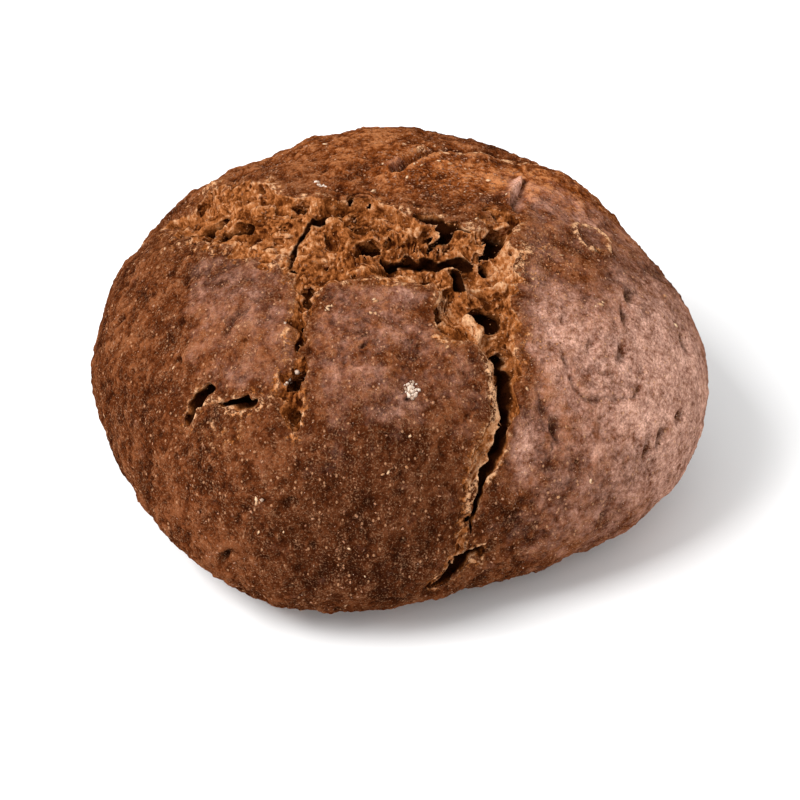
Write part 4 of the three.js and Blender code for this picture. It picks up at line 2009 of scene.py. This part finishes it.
@dataclass(frozen=True, kw_only=True)
class Scatter:
    """Many small pieces of one kind, strewn over the bread as one mesh."""

    name: str
    finish: SpeckFinish
    count: int
    length: Pair
    seed: int
    clumps: tuple[Clump, ...] = ()
    shades: Pair = (0.0, 0.75)
    least_normal: float = 1e-9

    def places(self, surface: Surface, weight: Values, draw: np.random.Generator) -> tuple[Values, Values]:
        """Draws places on the bread.

        Args:
            surface: The bread.
            weight: How likely each of its points is.
            draw: Source of the random numbers.

        Returns:
            The places and the bread's normals there.
        """
        corner = surface.points[surface.triangles]
        area = np.linalg.norm(np.cross(corner[:, 1] - corner[:, 0], corner[:, 2] - corner[:, 0]), axis=1)
        spread = area * weight[surface.triangles].mean(axis=1)
        chosen = [draw.choice(len(area), size=self.count, p=spread / spread.sum())]
        for clump in self.clumps:
            near = area * clump.chance(surface.places)[surface.triangles].mean(axis=1)
            chosen.append(draw.choice(len(area), size=clump.count, p=near / near.sum()))
        chosen = np.concatenate(chosen)
        share = draw.dirichlet((1.0, 1.0, 1.0), size=len(chosen))[:, :, None]
        spot = (corner[chosen] * share).sum(axis=1)
        normal = (surface.normals[surface.triangles[chosen]] * share).sum(axis=1)
        size = np.linalg.norm(normal, axis=1, keepdims=True)
        return spot, normal / np.maximum(size, self.least_normal)

    def headings(self, normal: Values, draw: np.random.Generator) -> tuple[Values, Values]:
        """Draws which way the pieces point.

        Args:
            normal: The way that each piece faces.
            draw: Source of the random numbers.

        Returns:
            The way along each piece and the way across it.
        """
        along = np.cross(normal, draw.normal(size=normal.shape))
        along /= np.linalg.norm(along, axis=1, keepdims=True)
        return along, np.cross(normal, along)

    def joined(self, points: Values, faces: Values, draw: np.random.Generator) -> bpy.types.Mesh:
        """Joins the pieces into one mesh.

        Args:
            points: The points of each piece.
            faces: The triangles of one piece.
            draw: Source of the random numbers.

        Returns:
            The mesh, with a shade for each piece.
        """
        count, each = points.shape[:2]
        rows = faces[None] + each * np.arange(count)[:, None, None]
        mesh = make_mesh(self.name, points.reshape(-1, 3), rows.reshape(-1, 3))
        add_values(mesh, {"shade": np.repeat(draw.uniform(*self.shades, size=count), each)})
        return mesh

    def dress(self, mesh: bpy.types.Mesh) -> bpy.types.Object:
        """Puts the pieces in the scene.

        Args:
            mesh: The pieces' mesh.

        Returns:
            The piece.
        """
        mesh.materials.append(self.finish.material())
        piece = add_object(mesh)
        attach(piece, BODY)
        return piece


@dataclass(frozen=True, kw_only=True)
class Strewn(Scatter):
    """Flakes and grains, each a small closed lens with a ragged rim."""

    slimness: Pair
    thickness: float
    lie: Lie
    corners: int = 7
    tumble: float = 0.6
    rim_reach: Pair = (0.7, 1.15)
    rim_lift: Pair = (-0.3, 0.5)

    def build(self, surface: Surface, weight: Values) -> bpy.types.Mesh:
        """Makes the pieces.

        Args:
            surface: The bread.
            weight: How likely each of its points is to carry a piece.

        Returns:
            One mesh with all the pieces.
        """
        draw = np.random.default_rng(self.seed)
        spot, normal = self.places(surface, weight, draw)
        if self.lie is Lie.TUMBLED:
            normal = normal + draw.normal(scale=self.tumble, size=normal.shape)
            normal /= np.linalg.norm(normal, axis=1, keepdims=True)
        side, other = self.headings(normal, draw)
        count = len(spot)
        length = draw.uniform(*self.length, size=count) * MM
        width = length * draw.uniform(*self.slimness, size=count)
        angle = np.linspace(0.0, 2 * np.pi, self.corners, endpoint=False)
        ragged = draw.uniform(*self.rim_reach, size=(count, self.corners))
        along = (length[:, None] * np.cos(angle) * ragged)[:, :, None] * side[:, None, :] / 2
        across = (width[:, None] * np.sin(angle) * ragged)[:, :, None] * other[:, None, :] / 2
        lift = draw.uniform(*self.rim_lift, size=(count, self.corners, 1))
        lift = lift * self.thickness * length[:, None, None]
        rim = spot[:, None, :] + along + across + lift * normal[:, None, :]
        bulge = normal * (self.thickness * length)[:, None]
        points = np.concatenate([rim, (spot + bulge)[:, None], (spot - bulge)[:, None]], axis=1)
        return self.joined(points, self.lens_faces(), draw)

    def lens_faces(self) -> Values:
        """Lists the triangles of one lens.

        Returns:
            The triangles of its upper side, then those of its underside.
        """
        here = np.arange(self.corners)
        following = np.roll(here, -1)
        top = np.stack([here, following, np.full(self.corners, self.corners)], axis=1)
        under = np.stack([following, here, np.full(self.corners, self.corners + 1)], axis=1)
        return np.concatenate([top, under])


@dataclass(frozen=True, kw_only=True)
class Shreds(Scatter):
    """Thin torn fibres of crumb that stand off the torn places, each bent and drawn out to a point."""

    thickness: Pair
    facets: int = 3
    rings: tuple[float, ...] = (-0.25, 0.3, 0.7)
    rise: Pair = (0.0, 0.4)
    bend: Pair = (-0.5, 0.5)
    taper: float = 0.6

    def build(self, surface: Surface, weight: Values) -> bpy.types.Mesh:
        """Makes the fibres.

        Args:
            surface: The bread.
            weight: How likely each of its points is to carry a fibre.

        Returns:
            One mesh with all the fibres.
        """
        draw = np.random.default_rng(self.seed)
        root, normal = self.places(surface, weight, draw)
        side, other = self.headings(normal, draw)
        each = (len(root), 1)
        rise = draw.uniform(*self.rise, size=each)
        bend = draw.uniform(*self.bend, size=each)
        length = draw.uniform(*self.length, size=each) * MM
        half = draw.uniform(*self.thickness, size=each) * MM / 2
        points = []
        for share in (*self.rings, 1.0):
            middle = root + length * (share * (side + rise * normal) + bend * share**2 * other)
            if share == 1.0:
                points.append(middle)
                continue
            radius = half * (1.0 - self.taper * share)
            for turn in np.arange(self.facets) * 2 * np.pi / self.facets:
                points.append(middle + radius * (np.cos(turn) * other + np.sin(turn) * normal))
        return self.joined(np.stack(points, axis=1), self.fibre_faces(), draw)

    def fibre_faces(self) -> Values:
        """Lists the triangles of one fibre.

        Returns:
            The triangles from ring to ring, then those up to the tip.
        """
        tip = len(self.rings) * self.facets
        faces = []
        for start in range(0, tip, self.facets):
            above = start + self.facets
            for here in range(self.facets):
                following = (here + 1) % self.facets
                if above == tip:
                    faces.append((start + here, start + following, tip))
                    continue
                faces.append((start + here, start + following, above + here))
                faces.append((start + following, above + following, above + here))
        return np.array(faces)


@dataclass(frozen=True)
class Topping:
    """What is strewn on the bread: bran, husks and flour on the crust, crumbs and fibres where it is torn."""

    bran: Strewn = Strewn(
        name="bran_flakes",
        finish=SpeckFinish("bran", srgb(174, 124, 92), srgb(112, 66, 40), 0.4),
        count=2400, length=(0.35, 1.2), slimness=(0.35, 0.8), thickness=0.1,
        lie=Lie.FLAT, seed=21,
        clumps=(Clump((-2.4, -48.8), 2.6, 14), Clump((16, 18), 20.0, 420)),
    )
    husks: Strewn = Strewn(
        name="grain_husks",
        finish=SpeckFinish("husk", srgb(222, 186, 148), srgb(166, 114, 74), 0.5),
        count=60, length=(0.9, 1.9), slimness=(0.35, 0.7), thickness=0.12,
        lie=Lie.FLAT, seed=23,
        clumps=(
            Clump((55.5, -26), 0.6, 2), Clump((58.5, -24), 0.6, 1), Clump((-37.5, -78), 0.8, 2),
            Clump((16, 18), 20.0, 36), Clump((-17.6, -37.8), 1.2, 4), Clump((-5.9, -37.3), 0.3, 2),
            Clump((-5.8, -41), 0.8, 3),
        ),
    )
    flour: Strewn = Strewn(
        name="flour_grains",
        finish=SpeckFinish("flour", srgb(206, 172, 150), srgb(150, 106, 82), 0.3),
        count=1500, length=(0.2, 0.42), slimness=(0.7, 1.0), thickness=0.4,
        lie=Lie.TUMBLED, seed=22, corners=5,
        clumps=(Clump((-36, 33), 4.0, 40),),
    )
    lumps: Strewn = Strewn(
        name="flour_lumps",
        finish=SpeckFinish("flour_lump", srgb(228, 208, 190), srgb(150, 120, 98), 0.3),
        count=6, length=(0.7, 1.6), slimness=(0.6, 1.0), thickness=0.4,
        lie=Lie.TUMBLED, seed=26,
        clumps=(Clump((5.1, -60.7), 1.2, 44), Clump((-23, 13.4), 1.0, 8), Clump((-28, -54.5), 1.6, 6)),
    )
    crumbs: Strewn = Strewn(
        name="torn_crumbs",
        finish=SpeckFinish("torn_crumb_grain", srgb(186, 128, 84), srgb(100, 53, 24), 0.4),
        count=900, length=(0.35, 1.0), slimness=(0.5, 0.9), thickness=0.32,
        lie=Lie.TUMBLED, seed=24, corners=5,
        clumps=(Clump((44, -12), 6.0, 120), Clump((39, -22), 7.0, 160), Clump((38, -45), 6.0, 80)),
    )
    shreds: Shreds = Shreds(
        name="torn_shreds",
        finish=SpeckFinish("torn_shred", srgb(190, 132, 88), srgb(108, 60, 28), 0.4),
        count=420, length=(0.5, 1.5), thickness=(0.22, 0.42), seed=25,
    )
    left_bran: float = 0.4
    bran_run: Pair = (-80.0, -45.0)
    least_flour: float = 0.08
    gilt_shreds: float = 0.8

    def dress(self, surface: Surface) -> list[bpy.types.Object]:
        """Strews the pieces over the bread.

        Args:
            surface: The bread.

        Returns:
            One piece for each kind.
        """
        torn = surface.values["torn"]
        crust = 1.0 - torn
        right = smooth_step(surface.places[:, 0], *self.bran_run)
        grainy = crust * (self.left_bran + (1.0 - self.left_bran) * right)
        floury = crust * (self.least_flour + surface.values["flour"])
        shallow = 1.0 - surface.values["deep"]
        open_crumb = torn * shallow * (1.0 - surface.values["cavity_shade"].clip(0.0, 1.0))
        fibrous = open_crumb + self.gilt_shreds * surface.values["gilt"]
        kinds = (
            (self.bran, grainy),
            (self.husks, crust),
            (self.flour, floury),
            (self.lumps, floury),
            (self.crumbs, open_crumb),
            (self.shreds, fibrous),
        )
        return [kind.dress(kind.build(surface, weight)) for kind, weight in kinds]


@dataclass(frozen=True)
class FloorFinish:
    """Pale matt finish of the floor."""

    deep: Triple = (0.88, 0.88, 0.88)
    pale: Triple = (0.9, 0.9, 0.9)
    stops: Pair = (0.3, 0.7)
    blotches: Grain = Grain(40.0)
    dullness: Grain = Grain(20.0)
    grit: Grain = Grain(2.0)
    roughness_run: Range = (0.3, 0.7, 0.85, 0.95)
    rise: float = 0.01
    shine: float = 0.1

    def material(self) -> bpy.types.Material:
        """Makes the material.

        Returns:
            The material, almost even.
        """
        nodes = Nodes("pale_floor")
        blotches = nodes.noise(self.blotches)
        colour = nodes.ramp(blotches, tuple(zip(self.stops, (self.deep, self.pale))))
        roughness = nodes.ranged(nodes.noise(self.dullness), *self.roughness_run)
        normal = nodes.bump(nodes.noise(self.grit), self.rise)
        return nodes.finish(colour, roughness, normal, self.shine)


@dataclass
class Studio:
    """A plain pale floor, soft light from all round and from the left, and the camera."""

    floor_half: float = 3.0
    elevation: float = 42.0
    lens: float = 100.0
    sensor: float = 36.0
    nearest: float = 0.01
    distance: float = 0.616
    aim: Triple = (0.00051, -0.01093, 0.030)
    sky: float = 0.93
    key_power: float = 14.3
    key_size: float = 0.5
    key_place: Triple = (-0.64, -0.34, 1.0)

    def build_floor(self) -> bpy.types.Object:
        """Lays the floor.

        Returns:
            The floor.
        """
        half = self.floor_half
        corners = np.array([(-half, -half, 0.0), (half, -half, 0.0), (half, half, 0.0), (-half, half, 0.0)])
        floor = add_object(make_mesh("floor", corners, np.array([[0, 1, 2, 3]])))
        floor.data.materials.append(FloorFinish().material())
        return floor

    def light(self) -> None:
        """Sets the sky and the lamp."""
        world = bpy.data.worlds.new("studio")
        world.use_nodes = True
        sky = world.node_tree.nodes["Background"]
        sky.inputs["Color"].default_value = (1.0, 1.0, 1.0, 1.0)
        sky.inputs["Strength"].default_value = self.sky
        bpy.context.scene.world = world
        self.hang_lamp()

    def hang_lamp(self) -> None:
        """Hangs one soft lamp that points at the loaf."""
        data = bpy.data.lights.new("key", "AREA")
        data.size = self.key_size
        data.energy = self.key_power
        lamp = bpy.data.objects.new("key", data)
        lamp.location = self.key_place
        toward = np.array(self.aim) - np.array(self.key_place)
        tilt = math.atan2(math.hypot(toward[0], toward[1]), -toward[2])
        bearing = math.atan2(toward[1], toward[0]) - math.pi / 2
        lamp.rotation_euler = (tilt, 0.0, bearing)
        bpy.context.scene.collection.objects.link(lamp)

    def set_camera(self) -> None:
        """Stands the camera at the photograph's angle."""
        tilt = math.radians(self.elevation)
        data = bpy.data.cameras.new("camera")
        data.lens = self.lens
        data.sensor_width = self.sensor
        data.clip_start = self.nearest
        camera = bpy.data.objects.new("camera", data)
        back = (0.0, -math.cos(tilt) * self.distance, math.sin(tilt) * self.distance)
        camera.location = tuple(aim + step for aim, step in zip(self.aim, back))
        camera.rotation_euler = (math.pi / 2 - tilt, 0.0, 0.0)
        bpy.context.scene.collection.objects.link(camera)
        bpy.context.scene.camera = camera
        bpy.context.scene.view_settings.view_transform = "Standard"


def main() -> None:
    """Builds the loaf, what is strewn on it and the studio, in that order."""
    logging.basicConfig(level=logging.INFO, format="%(name)s: %(message)s")
    bread = Bread(LoafForm(), CrustMap(), CrumbNoise())
    surface = bread.describe(bread.build_mesh())
    pieces = bread.dress(surface, CrustFinish())
    pieces += Topping().dress(surface)
    for piece in pieces:
        logger.info("%s: %d triangles", piece.name, len(piece.data.polygons))

    studio = Studio()
    floor = studio.build_floor()
    logger.info("%s laid", floor.name)
    studio.light()
    studio.set_camera()


if __name__ == "__main__":
    main()
